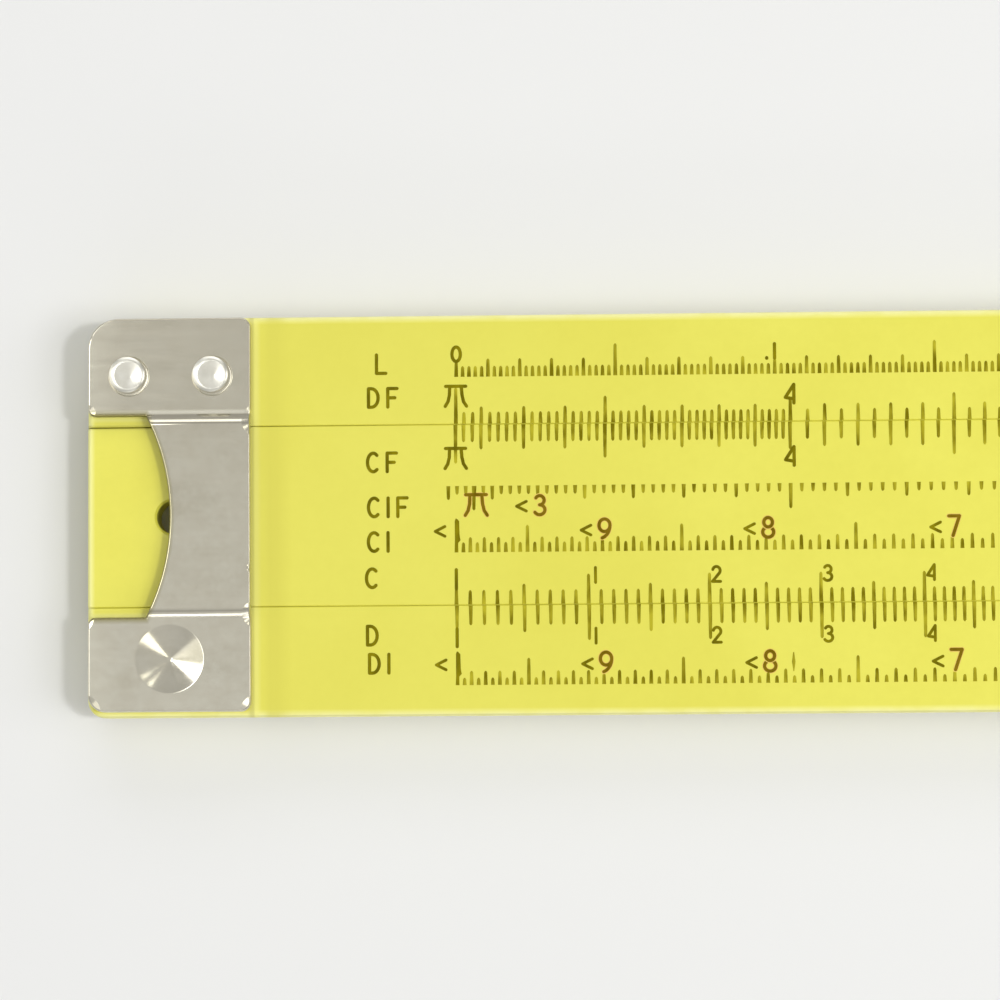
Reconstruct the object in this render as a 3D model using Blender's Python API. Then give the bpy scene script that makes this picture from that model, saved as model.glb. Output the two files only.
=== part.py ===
"""Ten inch metal duplex slide rule: two stators, a slide, four end brackets and a sprung cursor.

Metres, +Z up. X runs along the rule, +Y is towards the upper stator and the front face looks up.
The origin is under the middle of the rule, level with what it rests on: the backs of the bridges
of the back brackets and of the cursor.
"""

import math

import bmesh
import bpy
from mathutils import Matrix, Vector

# Stators and slide
BODY_LENGTH = 0.308
BODY_THICKNESS = 0.0032
STATOR_WIDTH = 0.00855
SLIDE_WIDTH = 0.0140
SLIDE_CLEARANCE = 0.0002
TONGUE_REACH = 0.0014
TONGUE_THICKNESS = 0.0010
GROOVE_CLEARANCE = 0.0002
EDGE_ROUNDING = 0.00045
INNER_CHAMFER = 0.00008
SLIDE_END_ROUNDING = 0.0003
UPPER_CORNER_RADIUS = 0.0024
LOWER_CORNER_RADIUS = 0.0014
SLIDE_HOLE_RADIUS = 0.0013
SLIDE_HOLE_SETBACK = 0.00675

# End brackets
SEAT_GAP = 0.00005
BRACKET_WIDTH = 0.0128
BRACKET_THICKNESS = 0.0009
BRACKET_END_INSET = 0.00015
BRACKET_UPPER_INSET = 0.00012
BRACKET_LOWER_INSET = 0.00045
BRACKET_RIM_ROUNDING = 0.00025
BRACKET_CORNER_RADIUS = 0.0008
BRACKET_LIP_RADIUS = 0.0006
JOGGLE_HEIGHT = 0.0005
JOGGLE_SETBACK = 0.0001
JOGGLE_RUN = 0.0009
NOTCH_SETBACK = 0.0007
NOTCH_LIP_DEPTH = 0.0046
NOTCH_DEPTH = 0.0065
FASTENER_SETBACK = 0.00395
DIMPLE_RADIUS = 0.0027
DIMPLE_DEPTH = 0.0007
POCKET_CLEARANCE = 0.0002
POCKET_HOLE_RADIUS = 0.0008
CONE_LIP = 0.00005

# Rivets
RIVET_SPACING = 0.00656
RIVET_SHANK_RADIUS = 0.0010
RIVET_HEAD_RADIUS = 0.00142
RIVET_HEAD_HEIGHT = 0.00042
RIVET_HOLE_CLEARANCE = 0.00005
# Radius and height along the head's section, from its rim over the dome into the dish
RIVET_HEAD_SHARES = ((1.0, 0.0), (0.97, 0.42), (0.84, 0.84), (0.64, 1.0), (0.42, 0.84), (0.0, 0.5))

# Cursor
CURSOR_POSITION = 0.060
CURSOR_LENGTH = 0.030
WINDOW_CLEARANCE = 0.00035
WINDOW_THICKNESS = 0.0011
WINDOW_EDGE_INSET = 0.0002
WINDOW_CORNER_RADIUS = 0.0012
WINDOW_BEVEL = 0.0004
WINDOW_BACK_CHAMFER = 0.0001
RUNNER_CLEARANCE = 0.00025
RUNNER_WIDTH = 0.0034
RUNNER_CORNER_RADIUS = 0.0009
RUNNER_CHAMFER = 0.00015

# Cursor spring and its recess in the upper runner
SPRING_LENGTH = 0.0220
SPRING_HEIGHT = 0.0021
SPRING_THICKNESS = 0.0002
SPRING_CLEARANCE = 0.00005
SPRING_RECESS_DEPTH = 0.0009
SPRING_RECESS_MARGIN = 0.0004

# Cursor screws
SCREW_SETBACK = 0.0040
SCREW_HEAD_RADIUS = 0.00125
SCREW_HEAD_HEIGHT = 0.00055
SCREW_SHANK_RADIUS = 0.00065
SCREW_LENGTH = 0.0028
SCREW_SINK = 0.00003
SCREW_CLEARANCE = 0.00006
SLOT_WIDTH = 0.0003
SLOT_DEPTH = 0.00025

CUT_OVERRUN = 0.001
CORNER_STEPS = 5
EDGE_STEPS = 3
RIM_STEPS = 2
NOTCH_STEPS = 10
JOGGLE_STEPS = 4
SPRING_STEPS = 14
TURNED_STEPS = 20
SCREW_STEPS = 16

# Places worked out from the sizes
HALF_LENGTH = BODY_LENGTH / 2
HALF_THICKNESS = BODY_THICKNESS / 2
STATOR_INNER_EDGE = SLIDE_WIDTH / 2 + SLIDE_CLEARANCE
BODY_HALF_WIDTH = STATOR_INNER_EDGE + STATOR_WIDTH
BRACKET_X = HALF_LENGTH - BRACKET_END_INSET - BRACKET_WIDTH / 2
FASTENER_Y = STATOR_INNER_EDGE + FASTENER_SETBACK
RUNNER_INNER_FACE = BODY_HALF_WIDTH + RUNNER_CLEARANCE
RUNNER_HALF_HEIGHT = HALF_THICKNESS + WINDOW_CLEARANCE - SEAT_GAP
SCREW_X = CURSOR_LENGTH / 2 - SCREW_SETBACK
SCREW_Y = RUNNER_INNER_FACE + RUNNER_WIDTH / 2
WINDOW_HALF_WIDTH = RUNNER_INNER_FACE + RUNNER_WIDTH - WINDOW_EDGE_INSET
BRIDGE_FACE = HALF_THICKNESS + SEAT_GAP + BRACKET_THICKNESS + JOGGLE_HEIGHT
WINDOW_FACE = HALF_THICKNESS + WINDOW_CLEARANCE + WINDOW_THICKNESS
REST_HEIGHT = max(BRIDGE_FACE, WINDOW_FACE)

# Colour, roughness and metallic value of each finish
FINISHES = {
    "yellow_enamel": ((0.81, 0.77, 0.13), 0.42, 0.0),
    "satin_aluminium": ((0.52, 0.49, 0.41), 0.38, 0.9),
    "rivet_aluminium": ((0.62, 0.60, 0.53), 0.25, 1.0),
    "clear_acrylic": ((0.90, 0.92, 0.90), 0.05, 0.0),
    "spring_bronze": ((0.60, 0.38, 0.18), 0.35, 1.0),
    "screw_steel": ((0.55, 0.55, 0.54), 0.25, 1.0),
}


def make_materials():
    """One material for each finish, by name."""
    made = {}
    for name, (colour, roughness, metallic) in FINISHES.items():
        material = bpy.data.materials.new(name)
        material.use_nodes = True
        shader = material.node_tree.nodes["Principled BSDF"]
        shader.inputs["Base Color"].default_value = (*colour, 1.0)
        shader.inputs["Roughness"].default_value = roughness
        shader.inputs["Metallic"].default_value = metallic
        made[name] = material
    return made


def add_mesh(name, bm, smooth_angle=math.radians(30)):
    """A mesh made from bm, smooth except at edges sharper than smooth_angle."""
    bmesh.ops.recalc_face_normals(bm, faces=bm.faces)
    mesh = bpy.data.meshes.new(name)
    bm.to_mesh(mesh)
    bm.free()
    mesh.shade_smooth()
    mesh.set_sharp_from_angle(angle=smooth_angle)
    return mesh


def add_object(name, mesh, parent=None, material=None, place=(0, 0, 0), turn=(0, 0, 0)):
    """An object at place under parent, turned by the three angles in turn."""
    made = bpy.data.objects.new(name, mesh)
    bpy.context.scene.collection.objects.link(made)
    made.parent = parent
    made.location = place
    made.rotation_euler = turn
    if material and not mesh.materials:
        mesh.materials.append(material)
    return made


def combine(target, cutter, operation="DIFFERENCE"):
    """Cuts the cutter from target, or joins it on. The cutter itself isn't part of the object."""
    cutter.hide_render = True
    cutter.display_type = "WIRE"
    modifier = target.modifiers.new(cutter.name, "BOOLEAN")
    modifier.operation = operation
    modifier.object = cutter


def meeting_point(start, along, other_start, other_along):
    """Where two lines in a plane cross, or other_start if they run the same way."""
    turn = along.cross(other_along)
    if abs(turn) < 1e-9:
        return other_start
    return start + along * ((other_start - start).cross(other_along) / turn)


def inset(outline, insets):
    """The points of an outline whose sides are moved inwards by their tag's distance in insets.

    An outline lists (x, y, tag) anticlockwise, and a tag names the side that starts at its point."""
    lines = []
    for (x, y, tag), (next_x, next_y, _) in zip(outline, outline[1:] + outline[:1]):
        along = Vector((next_x - x, next_y - y)).normalized()
        inwards = Vector((-along.y, along.x))
        lines.append((Vector((x, y)) + inwards * insets.get(tag, 0), along))
    return [meeting_point(*lines[i - 1], *lines[i]) for i in range(len(lines))]


def fillet(before, corner, after, radius, steps=CORNER_STEPS):
    """The points of an arc that rounds off corner, which lies between the points before and after."""
    back = (before - corner).normalized()
    ahead = (after - corner).normalized()
    half_angle = back.angle(ahead) / 2
    centre = corner + (back + ahead).normalized() * (radius / math.sin(half_angle))
    arm = corner + back * (radius / math.tan(half_angle)) - centre
    sweep = math.copysign(math.pi - 2 * half_angle, ahead.cross(back))
    return [centre + Matrix.Rotation(sweep * i / steps, 2) @ arm for i in range(steps + 1)]


def rounded(corners):
    """An outline from corners (x, y, tag, radius), each of them rounded off where it has a radius."""
    outline = []
    for i, (x, y, tag, radius) in enumerate(corners):
        corner = Vector((x, y))
        if not radius:
            outline.append((x, y, tag))
            continue
        before = Vector(corners[i - 1][:2])
        after = Vector(corners[(i + 1) % len(corners)][:2])
        outline += [(*point, tag) for point in fillet(before, corner, after, radius)]
    return outline


def stack(outline, levels):
    """A closed bmesh with the outline inset as each level (height, insets) says, from low to high."""
    bm = bmesh.new()
    rings = [[bm.verts.new((*point, z)) for point in inset(outline, insets)] for z, insets in levels]
    count = len(outline)
    for low, high in zip(rings, rings[1:]):
        for i in range(count):
            j = (i + 1) % count
            bm.faces.new((low[i], low[j], high[j], high[i]))
    bm.faces.new(reversed(rings[0]))
    bm.faces.new(rings[-1])
    return bm


def rounding(radius, steps):
    """The (inset, drop) pairs of a rounded edge, from the side of a plate to its face."""
    angles = [math.pi / 2 * i / steps for i in range(steps + 1)]
    return [(radius * (1 - math.cos(a)), radius * (1 - math.sin(a))) for a in angles]


def turned(profile, steps=TURNED_STEPS):
    """A closed bmesh from a profile of (radius, z), spun about Z, whose two ends lie on the axis."""
    bm = bmesh.new()
    verts = [bm.verts.new((radius, 0, z)) for radius, z in profile]
    edges = [bm.edges.new(pair) for pair in zip(verts, verts[1:])]
    bmesh.ops.spin(bm, geom=verts + edges, cent=(0, 0, 0), axis=(0, 0, 1), angle=math.tau, steps=steps)
    bmesh.ops.remove_doubles(bm, verts=bm.verts, dist=SEAT_GAP / 100)
    bmesh.ops.dissolve_degenerate(bm, edges=bm.edges, dist=SEAT_GAP / 100)
    return bm


def cylinder_cutter(name, radius, half_height, parent, place, steps=TURNED_STEPS):
    """A cutter along Z that runs past both faces of what it cuts."""
    reach = half_height + CUT_OVERRUN
    profile = [(0, -reach), (radius, -reach), (radius, reach), (0, reach)]
    return add_object(name, add_mesh(name, turned(profile, steps)), parent, place=place)


def box_cutter(name, size, parent, place):
    """A box of the given size, centred on place."""
    bm = bmesh.new()
    bmesh.ops.create_cube(bm, size=1)
    bmesh.ops.scale(bm, vec=size, verts=bm.verts)
    return add_object(name, add_mesh(name, bm), parent, place=place)


def stator_mesh(name, corner_radius):
    """A bar whose inner edge faces -Y, with the rule's outer corners rounded in plan."""
    outline = rounded([
        (-HALF_LENGTH, -STATOR_WIDTH / 2, "inner", 0),
        (HALF_LENGTH, -STATOR_WIDTH / 2, "outer", 0),
        (HALF_LENGTH, STATOR_WIDTH / 2, "outer", corner_radius),
        (-HALF_LENGTH, STATOR_WIDTH / 2, "outer", corner_radius),
    ])
    upper_half = []
    for reach, drop in rounding(EDGE_ROUNDING, EDGE_STEPS):
        chamfer = max(INNER_CHAMFER - drop, 0)
        upper_half.append((HALF_THICKNESS - drop, {"outer": reach, "inner": chamfer}))
    lower_half = [(-z, insets) for z, insets in reversed(upper_half)]
    return add_mesh(name, stack(outline, lower_half + upper_half))


def add_groove(stator):
    """The groove along a stator's inner edge that the slide's tongue runs in."""
    depth = TONGUE_REACH - SLIDE_CLEARANCE + GROOVE_CLEARANCE
    size = (BODY_LENGTH + 2 * CUT_OVERRUN, depth + CUT_OVERRUN, TONGUE_THICKNESS + 2 * GROOVE_CLEARANCE)
    middle = (depth - CUT_OVERRUN - STATOR_WIDTH) / 2
    combine(stator, box_cutter(f"{stator.name}_groove", size, stator, (0, middle, 0)))


def add_stators(frame, finish):
    """The upper stator, drilled for the rivets, and the lower one, with a pocket for each dimple."""
    middle = STATOR_INNER_EDGE + STATOR_WIDTH / 2
    upper = add_object("upper_stator", stator_mesh("upper_stator", UPPER_CORNER_RADIUS),
                       frame, finish, (0, middle, 0))
    lower = add_object("lower_stator", stator_mesh("lower_stator", LOWER_CORNER_RADIUS),
                       frame, finish, (0, -middle, 0), (0, 0, math.pi))
    for stator in (upper, lower):
        add_groove(stator)
    radius = RIVET_SHANK_RADIUS + RIVET_HOLE_CLEARANCE
    for x in rivet_places():
        place = (x, FASTENER_Y, 0)
        combine(upper, cylinder_cutter("stator_rivet_hole", radius, HALF_THICKNESS, frame, place))
    pocket = add_mesh("dimple_pocket", turned(pocket_profile()))
    for x in (-BRACKET_X, BRACKET_X):
        combine(lower, add_object("dimple_pocket", pocket, frame, place=(x, -FASTENER_Y, 0)))


def pocket_profile():
    """The section of the two cones and the drilled hole that take a pair of bracket dimples."""
    mouth = DIMPLE_RADIUS + POCKET_CLEARANCE
    slope = (DIMPLE_DEPTH + POCKET_CLEARANCE) / mouth
    foot = HALF_THICKNESS - slope * (mouth - POCKET_HOLE_RADIUS)
    rim = mouth + CONE_LIP / slope
    top = HALF_THICKNESS + CUT_OVERRUN
    upper_half = [(POCKET_HOLE_RADIUS, foot), (rim, HALF_THICKNESS + CONE_LIP), (rim, top), (0, top)]
    return [(radius, -z) for radius, z in reversed(upper_half)] + upper_half


def rivet_places():
    """The X of each rivet, from the left end of the rule to the right."""
    half = RIVET_SPACING / 2
    return (-BRACKET_X - half, -BRACKET_X + half, BRACKET_X - half, BRACKET_X + half)


def slide_outline():
    """The slide's section in (y, z), with its two tongues and the broken edges of its faces."""
    side = SLIDE_WIDTH / 2
    tongue_side = side + TONGUE_REACH
    tongue_face = TONGUE_THICKNESS / 2
    left_half = [
        (side - INNER_CHAMFER, -HALF_THICKNESS, "face"),
        (side, INNER_CHAMFER - HALF_THICKNESS, "side"),
        (side, -tongue_face, "side"),
        (tongue_side, -tongue_face, "side"),
        (tongue_side, tongue_face, "side"),
        (side, tongue_face, "side"),
        (side, HALF_THICKNESS - INNER_CHAMFER, "face"),
        (side - INNER_CHAMFER, HALF_THICKNESS, "face"),
    ]
    return left_half + [(-y, -z, tag) for y, z, tag in left_half]


def add_slide(frame, finish):
    """The slide, its section carried along X to rounded ends, with a hole near each end."""
    end_rounding = rounding(SLIDE_END_ROUNDING, EDGE_STEPS)
    left_end = [(reach - HALF_LENGTH, {"face": drop}) for reach, drop in end_rounding]
    right_end = [(-x, insets) for x, insets in reversed(left_end)]
    bm = stack(slide_outline(), left_end + right_end)
    for vert in bm.verts:
        vert.co = (vert.co.z, vert.co.x, vert.co.y)
    slide = add_object("slide", add_mesh("slide", bm), frame, finish)
    for x in (SLIDE_HOLE_SETBACK - HALF_LENGTH, HALF_LENGTH - SLIDE_HOLE_SETBACK):
        cutter = cylinder_cutter("slide_hole", SLIDE_HOLE_RADIUS, HALF_THICKNESS, frame, (x, 0, 0))
        combine(slide, cutter)


def bracket_outline():
    """A bracket seen from its face, with its outer end and its finger notch towards -X."""
    end = BRACKET_WIDTH / 2
    upper_side = BODY_HALF_WIDTH - BRACKET_UPPER_INSET
    lower_side = BODY_HALF_WIDTH - BRACKET_LOWER_INSET
    lip = STATOR_INNER_EDGE + NOTCH_SETBACK
    sagitta = NOTCH_DEPTH - NOTCH_LIP_DEPTH
    radius = (lip * lip + sagitta * sagitta) / (2 * sagitta)
    centre_x = NOTCH_DEPTH - end - radius
    half_sweep = math.asin(lip / radius)
    angles = [half_sweep * (1 - 2 * i / NOTCH_STEPS) for i in range(NOTCH_STEPS + 1)]
    notch = [(centre_x + radius * math.cos(a), radius * math.sin(a), "rim", 0) for a in angles]
    return rounded([
        (-end, -lower_side, "rim", LOWER_CORNER_RADIUS),
        (end, -lower_side, "rim", BRACKET_CORNER_RADIUS),
        (end, upper_side, "rim", BRACKET_CORNER_RADIUS),
        (-end, upper_side, "rim", UPPER_CORNER_RADIUS),
        (-end, lip, "rim", BRACKET_LIP_RADIUS),
        *notch,
        (-end, -lip, "rim", BRACKET_LIP_RADIUS),
    ])


def joggle(y):
    """How far the sheet is raised at y, from the pads on the stators to the bridge over the slide."""
    outside = abs(y) - STATOR_INNER_EDGE - JOGGLE_SETBACK
    share = min(max(1 - outside / JOGGLE_RUN, 0), 1)
    return JOGGLE_HEIGHT * (1 - math.cos(math.pi * share)) / 2


def bracket_mesh(name, hand):
    """A bracket on the face z = 0, with its outer end towards -X, or +X where hand is -1."""
    rim = rounding(BRACKET_RIM_ROUNDING, RIM_STEPS)
    underside = [(drop, {"rim": reach}) for reach, drop in reversed(rim)]
    face = [(BRACKET_THICKNESS - drop, {"rim": reach}) for reach, drop in rim]
    bm = stack(bracket_outline(), underside + face)
    bend_start = STATOR_INNER_EDGE + JOGGLE_SETBACK
    bends = [bend_start + JOGGLE_RUN * i / JOGGLE_STEPS for i in range(JOGGLE_STEPS + 1)]
    for y in bends + [-y for y in bends]:
        geometry = bm.verts[:] + bm.edges[:] + bm.faces[:]
        bmesh.ops.bisect_plane(bm, geom=geometry, plane_co=(0, y, 0), plane_no=(0, 1, 0))
    for vert in bm.verts:
        vert.co.z += SEAT_GAP + joggle(vert.co.y)
        vert.co.x *= hand
    return add_mesh(name, bm)


def dimple_boss_profile():
    """The cone that the dimple pushes out of the bracket's underside, with a root inside the sheet."""
    rim = DIMPLE_RADIUS * (1 + CONE_LIP / DIMPLE_DEPTH)
    seat = SEAT_GAP + CONE_LIP
    root = SEAT_GAP + BRACKET_THICKNESS / 2
    return [(0, SEAT_GAP - DIMPLE_DEPTH), (rim, seat), (rim, root), (0, root)]


def dimple_dish_profile():
    """The conical dish in the bracket's face, carried on above it."""
    rim = DIMPLE_RADIUS * (1 + CONE_LIP / DIMPLE_DEPTH)
    face = SEAT_GAP + BRACKET_THICKNESS
    top = face + CUT_OVERRUN
    return [(0, face - DIMPLE_DEPTH), (rim, face + CONE_LIP), (rim, top), (0, top)]


def add_brackets(frame, finish):
    """Front and back brackets at both ends, riveted above and dimpled below."""
    boss = add_mesh("dimple_boss", turned(dimple_boss_profile()))
    dish = add_mesh("dimple_dish", turned(dimple_dish_profile()))
    hole_radius = RIVET_SHANK_RADIUS + RIVET_HOLE_CLEARANCE
    for end, end_side in (("left", -1), ("right", 1)):
        for face, face_side in (("front", 1), ("back", -1)):
            name = f"{face}_{end}_bracket"
            hand = -end_side * face_side
            turn = (0, 0, 0) if face_side > 0 else (0, math.pi, 0)
            place = (end_side * BRACKET_X, 0, face_side * HALF_THICKNESS)
            bracket = add_object(name, bracket_mesh(name, hand), frame, finish, place, turn)
            centre = (0, -FASTENER_Y, 0)
            combine(bracket, add_object(f"{name}_boss", boss, bracket, place=centre), "UNION")
            combine(bracket, add_object(f"{name}_dish", dish, bracket, place=centre))
            for x in (-RIVET_SPACING / 2, RIVET_SPACING / 2):
                cutter = cylinder_cutter(f"{name}_rivet_hole", hole_radius, BRACKET_THICKNESS,
                                         bracket, (x, FASTENER_Y, 0))
                combine(bracket, cutter)


def add_rivets(frame, finish):
    """Four rivets through a front bracket, the upper stator and a back bracket, headed at both ends."""
    seat = HALF_THICKNESS + SEAT_GAP + BRACKET_THICKNESS + SEAT_GAP
    head = [(RIVET_HEAD_RADIUS * radius_share, seat + RIVET_HEAD_HEIGHT * height_share)
            for radius_share, height_share in RIVET_HEAD_SHARES]
    upper_half = [(RIVET_SHANK_RADIUS, seat), *head]
    profile = [(radius, -z) for radius, z in reversed(upper_half)] + upper_half
    mesh = add_mesh("rivet", turned(profile))
    names = ("left_outer_rivet", "left_inner_rivet", "right_inner_rivet", "right_outer_rivet")
    for name, x in zip(names, rivet_places()):
        add_object(name, mesh, frame, finish, (x, FASTENER_Y, 0))


def add_windows(frame, finish):
    """The cursor's clear front and back windows, with a bevelled rim and countersunk screw holes."""
    half_length = CURSOR_LENGTH / 2
    corners = [(x * half_length, y * WINDOW_HALF_WIDTH) for x, y in ((-1, -1), (1, -1), (1, 1), (-1, 1))]
    outline = rounded([(*corner, "rim", WINDOW_CORNER_RADIUS) for corner in corners])
    levels = [
        (0, {"rim": WINDOW_BACK_CHAMFER}),
        (WINDOW_BACK_CHAMFER, {}),
        (WINDOW_THICKNESS - WINDOW_BEVEL, {}),
        (WINDOW_THICKNESS, {"rim": WINDOW_BEVEL}),
    ]
    mouth = SCREW_HEAD_RADIUS + SCREW_CLEARANCE
    shank = SCREW_SHANK_RADIUS + SCREW_CLEARANCE
    top = WINDOW_THICKNESS + CUT_OVERRUN
    foot = WINDOW_THICKNESS - SCREW_HEAD_HEIGHT - SCREW_SINK - SCREW_CLEARANCE
    hole = add_mesh("window_screw_hole", turned([
        (0, -CUT_OVERRUN), (shank, -CUT_OVERRUN), (shank, foot),
        (mouth, WINDOW_THICKNESS - SCREW_SINK), (mouth, top), (0, top),
    ], SCREW_STEPS))
    for face_name, turn, side in (("front", 0, 1), ("back", math.pi, -1)):
        name = f"{face_name}_window"
        seat = side * (HALF_THICKNESS + WINDOW_CLEARANCE)
        window = add_object(name, add_mesh(name, stack(outline, levels)), frame, finish,
                            (0, 0, seat), (0, turn, 0))
        for x, y in screw_places():
            combine(window, add_object(f"{name}_screw_hole", hole, window, place=(x, y, 0)))


def screw_places():
    """The (x, y) of the four screws in each window, from the middle of the cursor."""
    return [(x, y) for y in (SCREW_Y, -SCREW_Y) for x in (-SCREW_X, SCREW_X)]


def add_runners(frame, finish):
    """The bars that join the windows and ride on the stators' outer edges."""
    half_length = CURSOR_LENGTH / 2 - WINDOW_EDGE_INSET
    half_width = RUNNER_WIDTH / 2
    outline = rounded([
        (-half_length, -half_width, "side", 0),
        (half_length, -half_width, "side", 0),
        (half_length, half_width, "side", RUNNER_CORNER_RADIUS),
        (-half_length, half_width, "side", RUNNER_CORNER_RADIUS),
    ])
    chamfer = {"side": RUNNER_CHAMFER}
    upper_half = [(RUNNER_HALF_HEIGHT - RUNNER_CHAMFER, {}), (RUNNER_HALF_HEIGHT, chamfer)]
    levels = [(-z, insets) for z, insets in reversed(upper_half)] + upper_half
    hole_radius = SCREW_SHANK_RADIUS + SCREW_CLEARANCE
    for name, side, turn in (("upper_runner", 1, 0), ("lower_runner", -1, math.pi)):
        runner = add_object(name, add_mesh(name, stack(outline, levels)), frame, finish,
                            (0, side * SCREW_Y, 0), (0, 0, turn))
        for x in (-SCREW_X, SCREW_X):
            cutter = cylinder_cutter(f"{name}_screw_hole", hole_radius, RUNNER_HALF_HEIGHT,
                                     runner, (x, 0, 0), SCREW_STEPS)
            combine(runner, cutter)
        if side > 0:
            length = SPRING_LENGTH + 2 * SPRING_RECESS_MARGIN
            height = SPRING_HEIGHT + 2 * SPRING_RECESS_MARGIN
            depth = SPRING_RECESS_DEPTH + CUT_OVERRUN
            middle = depth / 2 - CUT_OVERRUN - half_width
            combine(runner, box_cutter("spring_recess", (length, depth, height), runner, (0, middle, 0)))


def add_spring(frame, finish):
    """A bowed leaf whose ends press on the recess in the upper runner and its middle on the stator."""
    floor = RUNNER_INNER_FACE + SPRING_RECESS_DEPTH - SPRING_CLEARANCE
    crest = BODY_HALF_WIDTH + SPRING_CLEARANCE
    bow = floor - crest - SPRING_THICKNESS
    half = SPRING_LENGTH / 2
    stations = [half * (2 * i / SPRING_STEPS - 1) for i in range(SPRING_STEPS + 1)]
    near = [(x, crest + bow * (x / half) ** 2, "side") for x in stations]
    far = [(x, y + SPRING_THICKNESS, tag) for x, y, tag in reversed(near)]
    levels = [(-SPRING_HEIGHT / 2, {}), (SPRING_HEIGHT / 2, {})]
    add_object("tension_spring", add_mesh("tension_spring", stack(near + far, levels)), frame, finish)


def add_screws(frame, finish):
    """Four slotted countersunk screws through each window into the runners."""
    profile = [
        (0, -SCREW_LENGTH), (SCREW_SHANK_RADIUS, -SCREW_LENGTH),
        (SCREW_SHANK_RADIUS, -SCREW_HEAD_HEIGHT), (SCREW_HEAD_RADIUS, 0), (0, 0),
    ]
    mesh = add_mesh("screw", turned(profile, SCREW_STEPS))
    slot_size = (2 * SCREW_HEAD_RADIUS + CUT_OVERRUN, SLOT_WIDTH, 2 * SLOT_DEPTH)
    height = WINDOW_FACE - SCREW_SINK
    for face_name, side, turn in (("front", 1, 0), ("back", -1, math.pi)):
        for x, y in screw_places():
            across = "upper" if y > 0 else "lower"
            along = "left" if x < 0 else "right"
            name = f"{face_name}_{across}_{along}_screw"
            screw = add_object(name, mesh, frame, finish, (x, y, side * height), (turn, 0, 0))
            combine(screw, box_cutter(f"{name}_slot", slot_size, screw, (0, 0, 0)))


def main():
    """Clears the scene and builds the rule at rest, with its slide closed."""
    for old in list(bpy.data.objects):
        bpy.data.objects.remove(old)
    finishes = make_materials()
    rule = add_object("rule_frame", None, place=(0, 0, REST_HEIGHT))
    slide = add_object("slide_frame", None, rule)
    cursor = add_object("cursor_frame", None, rule, place=(CURSOR_POSITION, 0, 0))
    add_stators(rule, finishes["yellow_enamel"])
    add_brackets(rule, finishes["satin_aluminium"])
    add_rivets(rule, finishes["rivet_aluminium"])
    add_slide(slide, finishes["yellow_enamel"])
    add_windows(cursor, finishes["clear_acrylic"])
    add_runners(cursor, finishes["satin_aluminium"])
    add_spring(cursor, finishes["spring_bronze"])
    add_screws(cursor, finishes["screw_steel"])


main()
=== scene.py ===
"""Looks of a ten inch metal duplex slide rule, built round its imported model.

Metres, +Z up. X runs along the rule, +Y is towards the upper stator and the front face looks up.
Every mesh lies where its CAD node lies, so all objects sit at the origin.
"""

import math
from collections import namedtuple

import bmesh
import bpy
from mathutils import Matrix, Vector


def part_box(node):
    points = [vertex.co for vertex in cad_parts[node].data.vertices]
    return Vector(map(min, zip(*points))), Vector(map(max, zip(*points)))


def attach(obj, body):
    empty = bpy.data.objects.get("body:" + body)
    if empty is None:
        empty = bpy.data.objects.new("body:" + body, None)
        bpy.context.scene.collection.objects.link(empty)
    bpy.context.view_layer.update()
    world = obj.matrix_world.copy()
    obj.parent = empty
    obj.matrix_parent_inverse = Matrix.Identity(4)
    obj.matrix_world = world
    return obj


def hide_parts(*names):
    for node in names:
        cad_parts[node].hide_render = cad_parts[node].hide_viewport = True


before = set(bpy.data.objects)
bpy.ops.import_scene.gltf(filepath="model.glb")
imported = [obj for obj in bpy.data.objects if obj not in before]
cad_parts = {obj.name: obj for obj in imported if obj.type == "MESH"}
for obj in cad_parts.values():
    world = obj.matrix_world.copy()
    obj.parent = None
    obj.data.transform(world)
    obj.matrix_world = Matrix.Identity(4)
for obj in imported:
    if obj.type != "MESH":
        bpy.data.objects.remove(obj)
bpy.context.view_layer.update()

MM = 0.001

# Camera, fitted to the photograph's scale marks, edges and gaps
CAMERA_PLACE = (-112.96 * MM, -17.98 * MM, 278.29 * MM)
CAMERA_TURN = Vector((0.06952, 0.03153, -0.00811))
CAMERA_LENS = 126.0
CAMERA_SENSOR = 36.0
LAMP_AIM = (-0.12, 0, 0)

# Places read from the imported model
STATOR_LOW, STATOR_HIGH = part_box("upper_stator")
SLIDE_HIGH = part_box("slide")[1]
BRACKET_LOW, BRACKET_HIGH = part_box("front_left_bracket")
WINDOW_LOW, WINDOW_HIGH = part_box("front_window")
RUNNER_LOW, RUNNER_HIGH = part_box("upper_runner")
SPRING_LOW, SPRING_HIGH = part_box("tension_spring")
HALF_LENGTH = STATOR_HIGH.x
BODY_HALF_WIDTH = STATOR_HIGH.y
STATOR_INNER_EDGE = STATOR_LOW.y
BACK_FACE = STATOR_LOW.z
FRONT_FACE = STATOR_HIGH.z
MIDDLE = (BACK_FACE + FRONT_FACE) / 2
HALF_THICKNESS = (FRONT_FACE - BACK_FACE) / 2
CURSOR_X = (WINDOW_LOW.x + WINDOW_HIGH.x) / 2

# Stators and slide
TONGUE_REACH = 1.4 * MM
TONGUE_THICKNESS = 1.0 * MM
GROOVE_CLEARANCE = 0.2 * MM
SLIDE_SIDE = SLIDE_HIGH.y - TONGUE_REACH
SLIDE_GAP = STATOR_INNER_EDGE - SLIDE_SIDE
GAP_FILL = 0.096 * MM
WORN_LENGTH = 32 * MM
WORN_DEPTH = 0.05 * MM
EDGE_ROUNDING = 0.45 * MM
INNER_ROUNDING = 0.08 * MM
SLIDE_END_ROUNDING = 0.3 * MM
UPPER_CORNER_RADIUS = 2.4 * MM
LOWER_CORNER_RADIUS = 1.4 * MM
SLIDE_HOLE_RADIUS = 1.3 * MM
SLIDE_HOLE_SETBACK = 6.75 * MM

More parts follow.
